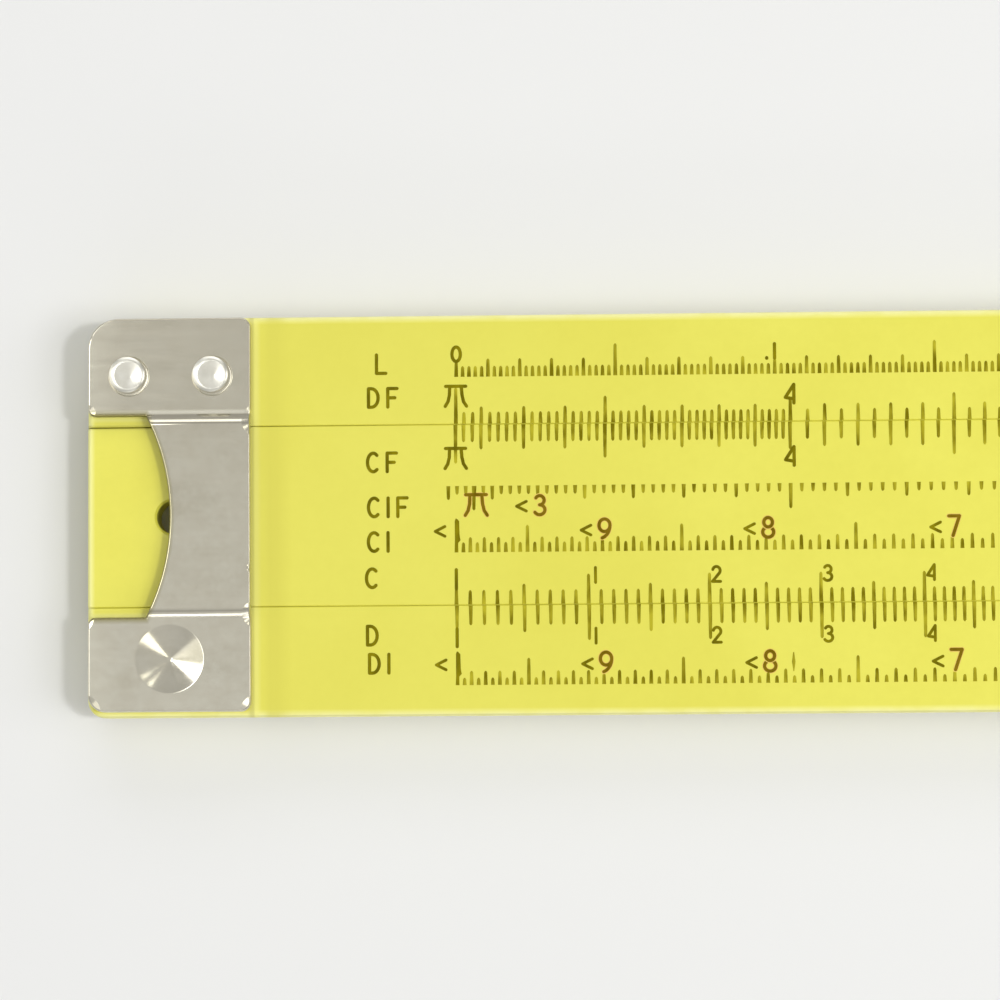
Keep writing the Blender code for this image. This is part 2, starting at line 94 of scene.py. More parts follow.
# End brackets
SEAT_GAP = 0.05 * MM
BRACKET_THICKNESS = 0.9 * MM
BRACKET_RIM_ROUNDING = 0.15 * MM
BRACKET_CORNER_RADIUS = 0.8 * MM
BRACKET_LIP_RADIUS = 0.6 * MM
JOGGLE_START = 7.12 * MM
JOGGLE_STOP = 8.02 * MM
NOTCH_SETBACK = 0.7 * MM
NOTCH_LIP_DEPTH = 4.6 * MM
NOTCH_DEPTH = 6.5 * MM
NOTCH_LIP = STATOR_INNER_EDGE + NOTCH_SETBACK
NOTCH_SAGITTA = NOTCH_DEPTH - NOTCH_LIP_DEPTH
NOTCH_RADIUS = (NOTCH_LIP * NOTCH_LIP + NOTCH_SAGITTA * NOTCH_SAGITTA) / (2 * NOTCH_SAGITTA)
DIMPLE_RADIUS = 2.7 * MM
DIMPLE_DEPTH = 0.7 * MM
DIMPLE_LIP = 0.04 * MM
DIMPLE_BOW = 0.1
DIMPLE_TIP = 0.25 * MM
DIMPLE_ROOT = 0.2 * MM
POCKET_CLEARANCE = 0.2 * MM
POCKET_HOLE_RADIUS = 0.8 * MM
BRACKET_X = (BRACKET_LOW.x + BRACKET_HIGH.x) / 2
HALF_BRACKET = (BRACKET_HIGH.x - BRACKET_LOW.x) / 2
JOGGLE_HEIGHT = BRACKET_HIGH.z - FRONT_FACE - SEAT_GAP - BRACKET_THICKNESS
RIM_BAND = -BRACKET_LOW.y - 0.4 * MM

# Dents in the edges of a bracket: x from its middle towards the rule's end, y and reach
KNOCK_SLOPE = 0.27
BRACKET_KNOCKS = (
    (-HALF_BRACKET - 0.75 * MM, 7.5 * MM, 1.4 * MM), (-HALF_BRACKET - 0.35 * MM, -7.7 * MM, 1.0 * MM),
    (-HALF_BRACKET - 0.8 * MM, -15.6 * MM, 1.75 * MM), (HALF_BRACKET + 0.4 * MM, -15.3 * MM, 1.4 * MM),
    (HALF_BRACKET, JOGGLE_STOP + 0.2 * MM, 0.6 * MM), (HALF_BRACKET + 0.6 * MM, 14.6 * MM, 1.05 * MM),
    (HALF_BRACKET + 1.05 * MM, -7.7 * MM, 1.6 * MM), (-HALF_BRACKET, -4.1 * MM, 0.3 * MM))

# Rivets
RIVET_NAMES = ("left_outer_rivet", "left_inner_rivet", "right_inner_rivet", "right_outer_rivet")
RIVET_SHANK_RADIUS = 1.0 * MM
RIVET_HOLE_CLEARANCE = 0.05 * MM
RIVET_CREST_SHARE = 0.8
RIVET_WALL_SHARE = 0.79
RIVET_BEND = 0.06
RIVET_DISH_DEPTH = 0.16 * MM
RIVET_DISH_POWER = 1.2
RIVET_LEAN = Vector((0.28 * MM, -0.14 * MM, 0))
SEAT_MARK_DEPTH = 0.036 * MM
SEAT_MARK_REACH = 0.15 * MM
SEAT_MARK_SHIFT = (0.12 * MM, -0.11 * MM)

# Cursor
WINDOW_CORNER_RADIUS = 1.2 * MM
WINDOW_BEVEL = 0.4 * MM
# How far below the face and in from the rim each bend of the bevel lies, as shares of its size
WINDOW_BEVEL_SHARES = ((1.08, 0), (0.94, 0.06), (0.06, 0.94), (0, 1.08))
WINDOW_BACK_ROUNDING = 0.08 * MM
RUNNER_CORNER_RADIUS = 0.9 * MM
RUNNER_ROUNDING = 0.15 * MM
SPRING_THICKNESS = 0.2 * MM
SPRING_RECESS_DEPTH = 0.9 * MM
SPRING_RECESS_MARGIN = 0.4 * MM
SCREW_HEAD_RADIUS = 1.25 * MM
SCREW_HEAD_HEIGHT = 0.55 * MM
SCREW_SHANK_RADIUS = 0.65 * MM
SCREW_CLEARANCE = 0.06 * MM
SCREW_EDGE = 0.05 * MM
SCREW_SINK = 0.03 * MM
SLOT_WIDTH = 0.3 * MM
SLOT_DEPTH = 0.25 * MM
SCREW_NAMES = [f"{face}_{across}_{along}_screw" for face in ("front", "back")
               for across in ("upper", "lower") for along in ("left", "right")]
SCREW_TURNS = (12, -35, 64, 20, -8, 47, -60, 30)
HAIRLINE_WIDTH = 0.1 * MM
HAIRLINE_DEPTH = 0.02 * MM
HAIRLINE_MARGIN = 0.3 * MM

# Fineness of the curved surfaces
CUT_OVERRUN = 1.0 * MM
CORNER_STEPS = 12
EDGE_STEPS = 6
NOTCH_STEPS = 48
JOGGLE_STEPS = 20
WALL_STEPS = 8
TURNED_STEPS = 56
RIVET_STEPS = 8
SPRING_STEPS = 32
SMOOTH_ANGLE = math.radians(32)

# Print
SCALE_LENGTH = 250.0 * MM
INK_RISE = 0.006 * MM
HALO_RISE = 0.008 * MM
FIGURE_RISE = 0.011 * MM
LAYER_STEP = 0.0012 * MM
LAYERS = 5
INK_ROOT = 0.02 * MM
TICK_BASE_WIDTH = 0.31 * MM
TICK_TIP_WIDTH = 0.24 * MM
STROKE_WIDTH = 0.26 * MM
SMALL_STROKE_WIDTH = 0.23 * MM
ARC_STEP = 15.0
CAP_ANGLES = (30.0, 60.0, 84.0)
CORNER_TURN = math.radians(48)
LETTER_GAP = 0.52
FIGURE_GAP = 0.36
SMALL_FIGURE_SHIFT = 0.56 * MM
ARROW_SIZE = 0.76 * MM
ARROW_SHIFT = 1.66 * MM
ARROW_RISE = 0.30 * MM
INDEX_LEFT = -0.12
RED_SHIFT = 0.17 * MM
HALO_SPREAD = 0.06 * MM
POINT_SHIFT = 0.62 * MM


def srgb(red, green, blue):
    """The linear colour of an 8 bit display colour."""
    shares = [value / 255 for value in (red, green, blue)]
    return tuple(s / 12.92 if s <= 0.04045 else ((s + 0.055) / 1.055) ** 2.4 for s in shares) + (1.0,)


def middle_of(node):
    """The middle of a CAD node's box, as (x, y)."""
    low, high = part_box(node)
    return (low.x + high.x) / 2, (low.y + high.y) / 2


RIVET_PLACES = [middle_of(name) for name in RIVET_NAMES]
FASTENER_Y = RIVET_PLACES[0][1]
SCREW_PLACES = [middle_of(name) for name in SCREW_NAMES[:4]]


# Mesh tools

def meeting_point(start, along, other_start, other_along):
    """Where two lines in a plane cross, or other_start if they run the same way."""
    turn = along.cross(other_along)
    if abs(turn) < 1e-9:
        return other_start
    return start + along * ((other_start - start).cross(other_along) / turn)


def inset(outline, insets):
    """The points of an outline whose sides are moved inwards by their tag's distance in insets."""
    lines = []
    for (x, y, tag), (next_x, next_y, _) in zip(outline, outline[1:] + outline[:1]):
        along = Vector((next_x - x, next_y - y)).normalized()
        inwards = Vector((-along.y, along.x))
        lines.append((Vector((x, y)) + inwards * insets.get(tag, 0), along))
    return [meeting_point(*lines[i - 1], *lines[i]) for i in range(len(lines))]


def fillet(before, corner, after, radius, steps):
    """The points of an arc that rounds off corner, which lies between the points before and after."""
    back = (before - corner).normalized()
    ahead = (after - corner).normalized()
    half_angle = back.angle(ahead) / 2
    centre = corner + (back + ahead).normalized() * (radius / math.sin(half_angle))
    arm = corner + back * (radius / math.tan(half_angle)) - centre
    sweep = math.copysign(math.pi - 2 * half_angle, ahead.cross(back))
    return [centre + Matrix.Rotation(sweep * i / steps, 2) @ arm for i in range(steps + 1)]


def rounded(corners, steps=CORNER_STEPS):
    """An outline from corners (x, y, tag, radius), each of them rounded off where it has a radius."""
    outline = []
    for i, (x, y, tag, radius) in enumerate(corners):
        corner = Vector((x, y))
        if not radius:
            outline.append((x, y, tag))
            continue
        before = Vector(corners[i - 1][:2])
        after = Vector(corners[(i + 1) % len(corners)][:2])
        outline += [(*point, tag) for point in fillet(before, corner, after, radius, steps)]
    return outline


def stack(outline, levels):
    """A closed bmesh with the outline inset as each level (height, insets) says, from low to high."""
    bm = bmesh.new()
    rings = [[bm.verts.new((*point, z)) for point in inset(outline, insets)] for z, insets in levels]
    count = len(outline)
    for low, high in zip(rings, rings[1:]):
        for i in range(count):
            j = (i + 1) % count
            bm.faces.new((low[i], low[j], high[j], high[i]))
    bm.faces.new(reversed(rings[0]))
    bm.faces.new(rings[-1])
    return bm


def rounding(radius, steps=EDGE_STEPS):
    """The (inset, drop) pairs of a rounded edge, from the side of a plate to its face."""
    angles = [math.pi / 2 * i / steps for i in range(steps + 1)]
    return [(radius * (1 - math.cos(a)), radius * (1 - math.sin(a))) for a in angles]


def turned(profile, steps=TURNED_STEPS):
    """A closed bmesh from a profile of (radius, z), spun about Z, whose two ends lie on the axis."""
    bm = bmesh.new()
    verts = [bm.verts.new((radius, 0, z)) for radius, z in profile]
    edges = [bm.edges.new(pair) for pair in zip(verts, verts[1:])]
    bmesh.ops.spin(bm, geom=verts + edges, cent=(0, 0, 0), axis=(0, 0, 1), angle=math.tau, steps=steps)
    bmesh.ops.remove_doubles(bm, verts=bm.verts, dist=SEAT_GAP / 100)
    bmesh.ops.dissolve_degenerate(bm, edges=bm.edges, dist=SEAT_GAP / 100)
    return bm


def spun(profile, places):
    """A mesh turned from the profile at each of the places (x, y)."""
    return [mesh_from(moved(turned(profile), (x, y, 0))) for x, y in places]


def doubled(upper_half):
    """The upper half of a turned section, after its mirror image below."""
    return [(radius, -z) for radius, z in reversed(upper_half)] + upper_half


def both_faces(upper_half):
    """The levels of a plate from its upper half, after their mirror image below."""
    return [(-z, insets) for z, insets in reversed(upper_half)] + upper_half


def mirrored(base, x, z, end_side, face_side):
    """A copy of a mesh, moved by x and z and then mirrored to an end and a face of the rule."""
    mesh = base.copy()
    mesh.transform(Matrix.Translation((x, 0, z)))
    mesh.transform(Matrix.Diagonal((end_side, 1, face_side, 1)))
    mesh.transform(Matrix.Translation((0, 0, MIDDLE)))
    if end_side * face_side < 0:
        mesh.flip_normals()
    return mesh


def box(size, place):
    """A box of the given size, centred on place."""
    bm = bmesh.new()
    bmesh.ops.create_cube(bm, size=1)
    bmesh.ops.scale(bm, vec=size, verts=bm.verts)
    bmesh.ops.translate(bm, vec=place, verts=bm.verts)
    return bm


def moved(bm, place):
    """The bmesh moved by place."""
    bmesh.ops.translate(bm, vec=place, verts=bm.verts)
    return bm


def mesh_from(bm, name="mesh"):
    """A mesh made from bm, which is used up, with its faces outwards."""
    bmesh.ops.recalc_face_normals(bm, faces=bm.faces)
    mesh = bpy.data.meshes.new(name)
    bm.to_mesh(mesh)
    bm.free()
    return mesh


def combined(mesh, others, operation="DIFFERENCE"):
    """The mesh with each of the other meshes cut from it, or joined on."""
    target = bpy.data.objects.new("target", mesh)
    made = [target]
    for other in others:
        cutter = bpy.data.objects.new("cutter", other)
        made.append(cutter)
        modifier = target.modifiers.new("combine", "BOOLEAN")
        modifier.operation = operation
        modifier.object = cutter
    for each in made:
        bpy.context.scene.collection.objects.link(each)
    depsgraph = bpy.context.evaluated_depsgraph_get()
    result = bpy.data.meshes.new_from_object(target.evaluated_get(depsgraph))
    for each in made:
        old = each.data
        bpy.data.objects.remove(each)
        bpy.data.meshes.remove(old)
    return result


def add_piece(name, mesh, material, body, nodes=(), smooth=True):
    """An object with this mesh that rides on a body and stands for the CAD nodes."""
    mesh.name = name
    mesh.materials.clear()
    mesh.materials.append(material)
    piece = bpy.data.objects.new(name, mesh)
    bpy.context.scene.collection.objects.link(piece)
    if smooth:
        mesh.shade_smooth()
        mesh.set_sharp_from_angle(angle=SMOOTH_ANGLE)
        modifier = piece.modifiers.new("weighted_normals", "WEIGHTED_NORMAL")
        modifier.keep_sharp = True
    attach(piece, body)
    if nodes:
        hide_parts(*nodes)
    return piece


# Materials

def new_material(name, **sockets):
    """A material with plain values on its shader's sockets, whose names have _ for a space."""
    material = bpy.data.materials.new(name)
    material.use_nodes = True
    shader = material.node_tree.nodes["Principled BSDF"]
    for socket, value in sockets.items():
        shader.inputs[socket.replace("_", " ")].default_value = value
    return material, material.node_tree, shader


def add_node(tree, kind, inputs, **settings):
    """A node with these settings, and with a value or another node's output for each input."""
    node = tree.nodes.new(kind)
    for name, value in settings.items():
        setattr(node, name, value)
    for name, value in inputs.items():
        if isinstance(value, bpy.types.NodeSocket):
            tree.links.new(value, node.inputs[name])
        else:
            node.inputs[name].default_value = value
    return node


def object_coordinates(tree):
    """The place on the object, in metres."""
    return tree.nodes.new("ShaderNodeTexCoord").outputs["Object"]


def noise(tree, place, scale, detail=2.0, roughness=0.5, stretch=None):
    """Noise with this many features a metre, stretched along the axes where stretch says."""
    if stretch:
        place = add_node(tree, "ShaderNodeVectorMath", {0: place, 1: stretch}, operation="MULTIPLY")
        place = place.outputs[0]
    inputs = {"Vector": place, "Scale": scale, "Detail": detail, "Roughness": roughness}
    return add_node(tree, "ShaderNodeTexNoise", inputs).outputs["Fac"]


def span(tree, value, from_low, from_high, to_low, to_high):
    """The value carried from one range to another, and held within it."""
    inputs = dict(zip(range(5), (value, from_low, from_high, to_low, to_high)))
    return add_node(tree, "ShaderNodeMapRange", inputs).outputs["Result"]


def maths(tree, operation, first, second=0.0):
    """The result of a sum of two values."""
    return add_node(tree, "ShaderNodeMath", {0: first, 1: second}, operation=operation).outputs[0]


def product(tree, first, *others):
    """Values multiplied together."""
    for other in others:
        first = maths(tree, "MULTIPLY", first, other)
    return first


def band(tree, value, start, full, ebb, end, most=1):
    """A share that rises to most as the value goes from start to full, and falls from ebb to end."""
    return product(tree, span(tree, value, start, full, 0, most), span(tree, value, ebb, end, 1, 0))


def far(tree, along, across):
    """The distance that these two values make."""
    squares = [product(tree, value, value) for value in (along, across)]
    return maths(tree, "SQRT", maths(tree, "ADD", *squares))


def axes_of(tree, vector):
    """A vector's X, Y and Z, by name."""
    return add_node(tree, "ShaderNodeSeparateXYZ", {0: vector}).outputs


def sizes_of(tree, axes):
    """X and Y without their signs, so that both ends and both sides of the rule count alike."""
    return [maths(tree, "ABSOLUTE", axes[name]) for name in "XY"]


def surface_axes(tree):
    """The X, Y and Z of the surface's direction, by name."""
    return axes_of(tree, tree.nodes.new("ShaderNodeNewGeometry").outputs["Normal"])


def mixed(tree, share, first, second):
    """Two colours blended by share."""
    node = tree.nodes.new("ShaderNodeMix")
    node.data_type = "RGBA"
    sockets = {socket.identifier: socket for socket in node.inputs}
    for name, value in (("Factor_Float", share), ("A_Color", first), ("B_Color", second)):
        if isinstance(value, bpy.types.NodeSocket):
            tree.links.new(value, sockets[name])
        else:
            sockets[name].default_value = value
    return {socket.identifier: socket for socket in node.outputs}["Result_Color"]


def layered(tree, tone, layers):
    """The tone with the 8 bit colour of each layer mixed in by the layer's share."""
    for share, colour in layers:
        tone = mixed(tree, share, tone, srgb(*colour))
    return tone


def bump(tree, height, distance, strength=1.0):
    """The surface's direction with a height of this many metres added."""
    inputs = {"Height": height, "Distance": distance, "Strength": strength}
    return add_node(tree, "ShaderNodeBump", inputs).outputs["Normal"]


def make_yellow_enamel():
    """Semi-gloss baked enamel, faintly mottled, with a patchy painted highlight along the rule's rounded
    outer edges and ends, and painted shade and light near the brackets and along the slide gap.
    """
    material, tree, shader = new_material("yellow_enamel", Roughness=0.42, IOR=1.5)
    place = object_coordinates(tree)
    blotches = noise(tree, place, 70, 3)
    grain = noise(tree, place, 1400, 2)
    axes = axes_of(tree, place)
    x, y = sizes_of(tree, axes)
    side = BODY_HALF_WIDTH
    end = HALF_LENGTH
    seat = -BRACKET_HIGH.x

    def beside_bracket(places, most):
        return band(tree, x, *(seat + place * MM for place in places), most)

    edge = span(tree, y, side - 0.62 * MM, side - 0.12 * MM, 0, 1)
    # Painted highlight: a pale, patchy band along the rounded outer edges, and at the rounded ends
    edge_highlight = product(tree, edge, span(tree, noise(tree, place, 500, 3), 0.36, 0.56, 0.75, 1))
    tip = span(tree, x, end - 0.62 * MM, end - 0.2 * MM, 0, 0.8)
    # Painted shade: the enamel darkens from 85 mm out to each bracket, away from the outer edges
    shade_towards_ends = product(tree, band(tree, x, 0.085, seat - 8 * MM, seat, seat + 1 * MM, 0.4),
                   span(tree, edge, 0, 1, 1, 0))
    from_gap = maths(tree, "ABSOLUTE", maths(tree, "SUBTRACT", axes["Y"], SLIDE_SIDE + SLIDE_GAP / 2))
    # Painted shade: darker along the slide gap near each end
    gap = product(tree, span(tree, from_gap, 0.1 * MM, 0.24 * MM, 0.5, 0),
                  span(tree, x, end - 9 * MM, end - 4 * MM, 0, 1))
    below = maths(tree, "MULTIPLY", axes["Y"], -1)
    # Painted shade: a patchy darker band just inwards of each bracket
    shade_inwards_of_bracket = product(tree, beside_bracket((-3.2, -2.0, -1.4, -0.8), 0.55),
                      span(tree, blotches, 0.3, 0.6, 0.5, 1))
    inner = STATOR_INNER_EDGE
    # Painted light: a paler stator strip beside the slide gap, under the end of each bracket
    strip_light = product(tree, span(tree, x, seat + 1.0 * MM, seat + 2.0 * MM, 0, 0.6),
                    span(tree, y, inner + 0.25 * MM, inner + 0.5 * MM, 0, 1),
                    span(tree, y, 9 * MM, 10 * MM, 1, 0))
    tone = layered(tree, srgb(228, 222, 83), (
        (span(tree, blotches, 0.35, 0.65, 0, 1), (233, 228, 91)),
        (span(tree, grain, 0.3, 0.7, 0, 0.10), (208, 202, 62)),
        # painted highlight on the rounded edges and ends
        (maths(tree, "MAXIMUM", edge_highlight, tip), (250, 247, 168)),
        # painted shade towards each end
        (shade_towards_ends, (213, 206, 76)),
        # painted shade along the slide gap
        (gap, (172, 165, 56)),
        # Painted shade on the lower rounded edge
        (band(tree, below, side - 0.2 * MM, side - 0.1 * MM, side - 0.06 * MM, side - 0.02 * MM, 0.35),
         (150, 145, 78)),
        # Painted light: a pale band beside each bracket, as if reflected off its side
        (beside_bracket((-0.75, -0.4, 0.1, 0.4), 0.55), (243, 239, 140)),
        # painted shade inwards of each bracket
        (shade_inwards_of_bracket, (210, 203, 72)),
        # painted light on the strip beside the gap
        (strip_light, (247, 244, 148)),
        # Painted shade right against the edge of each bracket
        (beside_bracket((-0.25, -0.1, 0.1, 0.4), 0.35), (168, 162, 84))))
    tree.links.new(tone, shader.inputs["Base Color"])
    tree.links.new(span(tree, noise(tree, place, 260, 3), 0.3, 0.7, 0.37, 0.47), shader.inputs["Roughness"])
    tree.links.new(bump(tree, noise(tree, place, 1100, 2), 0.006 * MM, 0.5), shader.inputs["Normal"])
    return material


def from_notch(tree, x, y):
    """How far a point of a bracket lies from the edge of its finger notch."""
    along = maths(tree, "SUBTRACT", x, HALF_LENGTH - NOTCH_DEPTH + NOTCH_RADIUS)
    past_arc = maths(tree, "SUBTRACT", far(tree, along, y), NOTCH_RADIUS)
    return maths(tree, "MAXIMUM", past_arc, maths(tree, "SUBTRACT", y, NOTCH_LIP))


def make_satin_aluminium(name, smoothest, roughest):
    """Bare satin metal with a faint grain along the rule, cloudy patches, fine scuffs and knocked corners, a
    painted highlight past the upper bend, and a painted reflection and shade along the finger notch.
    """
    material, tree, shader = new_material(name, Metallic=1.0, Roughness=0.36)
    place = object_coordinates(tree)
    clouds = noise(tree, place, 560, 6, 0.72)
    patches = noise(tree, place, 130, 3, 0.6, (1, 2.5, 1))
    grain = noise(tree, place, 60, 3, 0.6, (1, 45, 45))
    scuffs = noise(tree, place, 180, 6, 0.75, (1, 9, 9))
    axes = axes_of(tree, place)
    x, y = sizes_of(tree, axes)
    bend = JOGGLE_STOP
    # Painted highlight: a pale band on the pad just past the upper bend. The last 3 mm towards the outer end
    # are paler as well
    rubbed = band(tree, axes["Y"], bend, bend + 0.12 * MM, bend + 0.25 * MM, bend + 0.4 * MM)
    tip = span(tree, x, HALF_LENGTH - 3 * MM, HALF_LENGTH, 0, 0.5)
    past_notch = from_notch(tree, x, y)
    tone = layered(tree, srgb(200, 194, 175), (
        (span(tree, clouds, 0.3, 0.7, 0, 1), (217, 213, 197)),
        (span(tree, patches, 0.35, 0.65, 0, 0.55), (221, 216, 200)),
        (span(tree, grain, 0.35, 0.7, 0, 0.12), (222, 218, 204)),
        (span(tree, axes["Y"], BRACKET_LOW.y, BRACKET_HIGH.y, 0, 0.5), (188, 182, 162)),
        (maths(tree, "MAXIMUM", rubbed, tip), (233, 228, 210)),
        # Painted reflection of the yellow slide and painted shade along the finger notch's edge
        (span(tree, past_notch, 0.1 * MM, 0.55 * MM, 0.75, 0), (150, 142, 70)),
        (span(tree, past_notch, 0.12 * MM, 0.2 * MM, 0.5, 0), (100, 92, 40))))
    tree.links.new(tone, shader.inputs["Base Color"])
    facing_end, facing_side = [span(tree, size, 0.28, 0.42, 0, 1)
                               for size in sizes_of(tree, surface_axes(tree))]
    outside = span(tree, y, RIM_BAND, RIM_BAND + 0.1 * MM, 0, 1)
    sheared = maths(tree, "MAXIMUM", facing_end, product(tree, facing_side, outside))
    rough = span(tree, scuffs, 0.3, 0.7, smoothest, roughest)
    for extra in (span(tree, sheared, 0, 1, 0, 0.22), span(tree, past_notch, 0.05 * MM, 0.15 * MM, 0.3, 0)):
        rough = maths(tree, "ADD", rough, extra)
    tree.links.new(rough, shader.inputs["Roughness"])
    relief = maths(tree, "MULTIPLY", grain, 0.0015 * MM)
    for knock_x, knock_y, reach in BRACKET_KNOCKS:
        along = maths(tree, "SUBTRACT", x, -BRACKET_X + knock_x)
        gap = far(tree, along, maths(tree, "SUBTRACT", axes["Y"], knock_y))
        relief = maths(tree, "ADD", relief, span(tree, gap, 0, reach, -reach * KNOCK_SLOPE, 0))
    tree.links.new(bump(tree, relief, 1.0), shader.inputs["Normal"])
    return material


def make_metal(name, colour, paler, roughness, rougher):
    """A turned or rolled metal with a fine cloudy finish."""
    material, tree, shader = new_material(name, Metallic=1.0, Roughness=roughness)
    place = object_coordinates(tree)
    clouds = noise(tree, place, 900, 3)
    tone = mixed(tree, span(tree, clouds, 0.3, 0.7, 0, 1), colour, paler)
    tree.links.new(tone, shader.inputs["Base Color"])
    tree.links.new(span(tree, clouds, 0.3, 0.7, roughness, rougher), shader.inputs["Roughness"])
    tree.links.new(bump(tree, noise(tree, place, 2500, 3), 0.003 * MM, 0.4), shader.inputs["Normal"])
    return material


def make_ink(name, dark, pale, most):
    """Printing ink that took unevenly, from one mark to the next."""
    material, tree, shader = new_material(name, Roughness=0.5, Specular_IOR_Level=0.06)
    place = object_coordinates(tree)
    marks = noise(tree, place, 1300, 2, 0.5, (1, 0.4, 1))
    share = span(tree, marks, 0.35, 0.7, 0, most)
    tree.links.new(mixed(tree, share, dark, pale), shader.inputs["Base Color"])
    tree.links.new(span(tree, noise(tree, place, 2200, 2), 0.3, 0.7, 0.42, 0.6), shader.inputs["Roughness"])
    return material


def make_clear_acrylic():
    """Clear acrylic, polished on its faces and frosted where its edges and holes were cut."""
    material, tree, shader = new_material("clear_acrylic", Base_Color=(0.96, 0.98, 0.96, 1), IOR=1.49)
    polished = span(tree, maths(tree, "ABSOLUTE", surface_axes(tree)["Z"]), 0.2, 0.9, 0, 1)
    rubbing = noise(tree, object_coordinates(tree), 90, 6, 0.8, (14, 1, 1))
    rubbed = span(tree, rubbing, 0.35, 0.75, 0, 0.02)
    tree.links.new(span(tree, polished, 0, 1, 0.35, 1), shader.inputs["Transmission Weight"])
    tree.links.new(maths(tree, "ADD", span(tree, polished, 0, 1, 0.5, 0), rubbed), shader.inputs["Roughness"])
    return material


def make_materials():
    """Every finish on the rule, by name."""
    return {
        "yellow_enamel": make_yellow_enamel(),
        "satin_aluminium": make_satin_aluminium("satin_aluminium", 0.08, 0.16),
        "runner_aluminium": make_satin_aluminium("runner_aluminium", 0.30, 0.40),
        "rivet_aluminium": make_metal("rivet_aluminium", srgb(222, 219, 206), srgb(238, 236, 226),
                                      0.28, 0.36),
        "clear_acrylic": make_clear_acrylic(),
        "spring_bronze": make_metal("spring_bronze", srgb(196, 150, 92), srgb(210, 166, 108), 0.25, 0.38),
        "screw_steel": make_metal("screw_steel", srgb(188, 188, 186), srgb(204, 204, 202), 0.2, 0.32),
        "tick_ink": make_ink("tick_ink", srgb(118, 108, 0), srgb(186, 176, 44), 1.0),
        "figure_ink": make_ink("figure_ink", srgb(104, 95, 0), srgb(148, 137, 6), 0.8),
        "inverse_ink": make_ink("inverse_ink", srgb(112, 90, 0), srgb(144, 116, 20), 0.8),
        "halo_ink": make_ink("halo_ink", srgb(228, 192, 96), srgb(237, 214, 108), 0.8),
    }


# The rule's body

def add_stators(finish):
    """The bars above and below the slide, grooved, drilled for the rivets and pocketed for the dimples."""
    inner = STATOR_INNER_EDGE - GAP_FILL
    outer = BODY_HALF_WIDTH
    depth = TONGUE_REACH + GROOVE_CLEARANCE
    width = TONGUE_THICKNESS + 2 * GROOVE_CLEARANCE
    groove_size = (2 * HALF_LENGTH + CUT_OVERRUN, 2 * depth, width)
    radius = RIVET_SHANK_RADIUS + RIVET_HOLE_CLEARANCE
    for name, corner_radius, turn in (("upper_stator", UPPER_CORNER_RADIUS, 0),
                                      ("lower_stator", LOWER_CORNER_RADIUS, math.pi)):
        outline = rounded([
            (-HALF_LENGTH, inner, "inner", 0),
            (HALF_LENGTH, inner, "outer", 0),
            (HALF_LENGTH, outer, "outer", corner_radius),
            (-HALF_LENGTH, outer, "outer", corner_radius),
        ])
        upper_half = [(HALF_THICKNESS - drop, {"outer": reach, "inner": max(INNER_ROUNDING - drop, 0)})
                      for reach, drop in rounding(EDGE_ROUNDING)]
        mesh = mesh_from(stack(outline, both_faces(upper_half)))
        cutters = [mesh_from(box(groove_size, (0, STATOR_INNER_EDGE - SLIDE_GAP, 0)))]
        if turn:
            cutters += spun(pocket_profile(), [(-BRACKET_X, FASTENER_Y), (BRACKET_X, FASTENER_Y)])
        else:
            cutters += spun(pin(radius, HALF_THICKNESS), [(x, FASTENER_Y) for x, _ in RIVET_PLACES])
        mesh = combined(mesh, cutters)
        mesh.transform(Matrix.Translation((0, 0, MIDDLE)) @ Matrix.Rotation(turn, 4, "Z"))
        add_piece(f"{name}_bar", mesh, finish, "frame", [name])


def pin(radius, half_height):
    """The section of a round pin along Z that runs past both faces of what it cuts."""
    reach = half_height + CUT_OVERRUN
    return [(0, -reach), (radius, -reach), (radius, reach), (0, reach)]


def pocket_profile():
    """The section of the two cones and the drilled hole that take a pair of bracket dimples."""
    mouth = DIMPLE_RADIUS + POCKET_CLEARANCE
    slope = (DIMPLE_DEPTH + POCKET_CLEARANCE) / mouth
    foot = HALF_THICKNESS - slope * (mouth - POCKET_HOLE_RADIUS)
    rim = mouth + SEAT_GAP / slope
    top = HALF_THICKNESS + CUT_OVERRUN
    return doubled([(POCKET_HOLE_RADIUS, foot), (rim, HALF_THICKNESS + SEAT_GAP), (rim, top), (0, top)])


def add_slide(finish):
    """The slide, its section carried along X to rounded ends, with a hole near each end."""
    tongue_face = TONGUE_THICKNESS / 2
    side = SLIDE_SIDE + GAP_FILL
    half = [
        (side - INNER_ROUNDING, -HALF_THICKNESS, "face"),
        (side, INNER_ROUNDING - HALF_THICKNESS, "upper"),
        (side, -tongue_face, "upper"),
        (SLIDE_HIGH.y, -tongue_face, "upper"),
        (SLIDE_HIGH.y, tongue_face, "upper"),
        (side, tongue_face, "upper"),
        (side, HALF_THICKNESS - INNER_ROUNDING, "face"),
        (side - INNER_ROUNDING, HALF_THICKNESS, "face"),
    ]
    outline = half + [(-y, -z, tag.replace("upper", "lower")) for y, z, tag in half]
    left = [(reach - SLIDE_HIGH.x, {"face": drop, "upper": WORN_DEPTH, "lower": WORN_DEPTH / 4})
            for reach, drop in rounding(SLIDE_END_ROUNDING)]
    left.append((WORN_LENGTH - SLIDE_HIGH.x, {}))
    right = [(-x, insets) for x, insets in reversed(left)]
    bm = stack(outline, left + right)
    for vert in bm.verts:
        vert.co = (vert.co.z, vert.co.x, vert.co.y)
    hole_x = SLIDE_HIGH.x - SLIDE_HOLE_SETBACK
    mesh = combined(mesh_from(bm), spun(hole_profile(), [(-hole_x, 0), (hole_x, 0)]))
    mesh.transform(Matrix.Translation((0, 0, MIDDLE)))
    add_piece("slide_bar", mesh, finish, "slide", ["slide"])


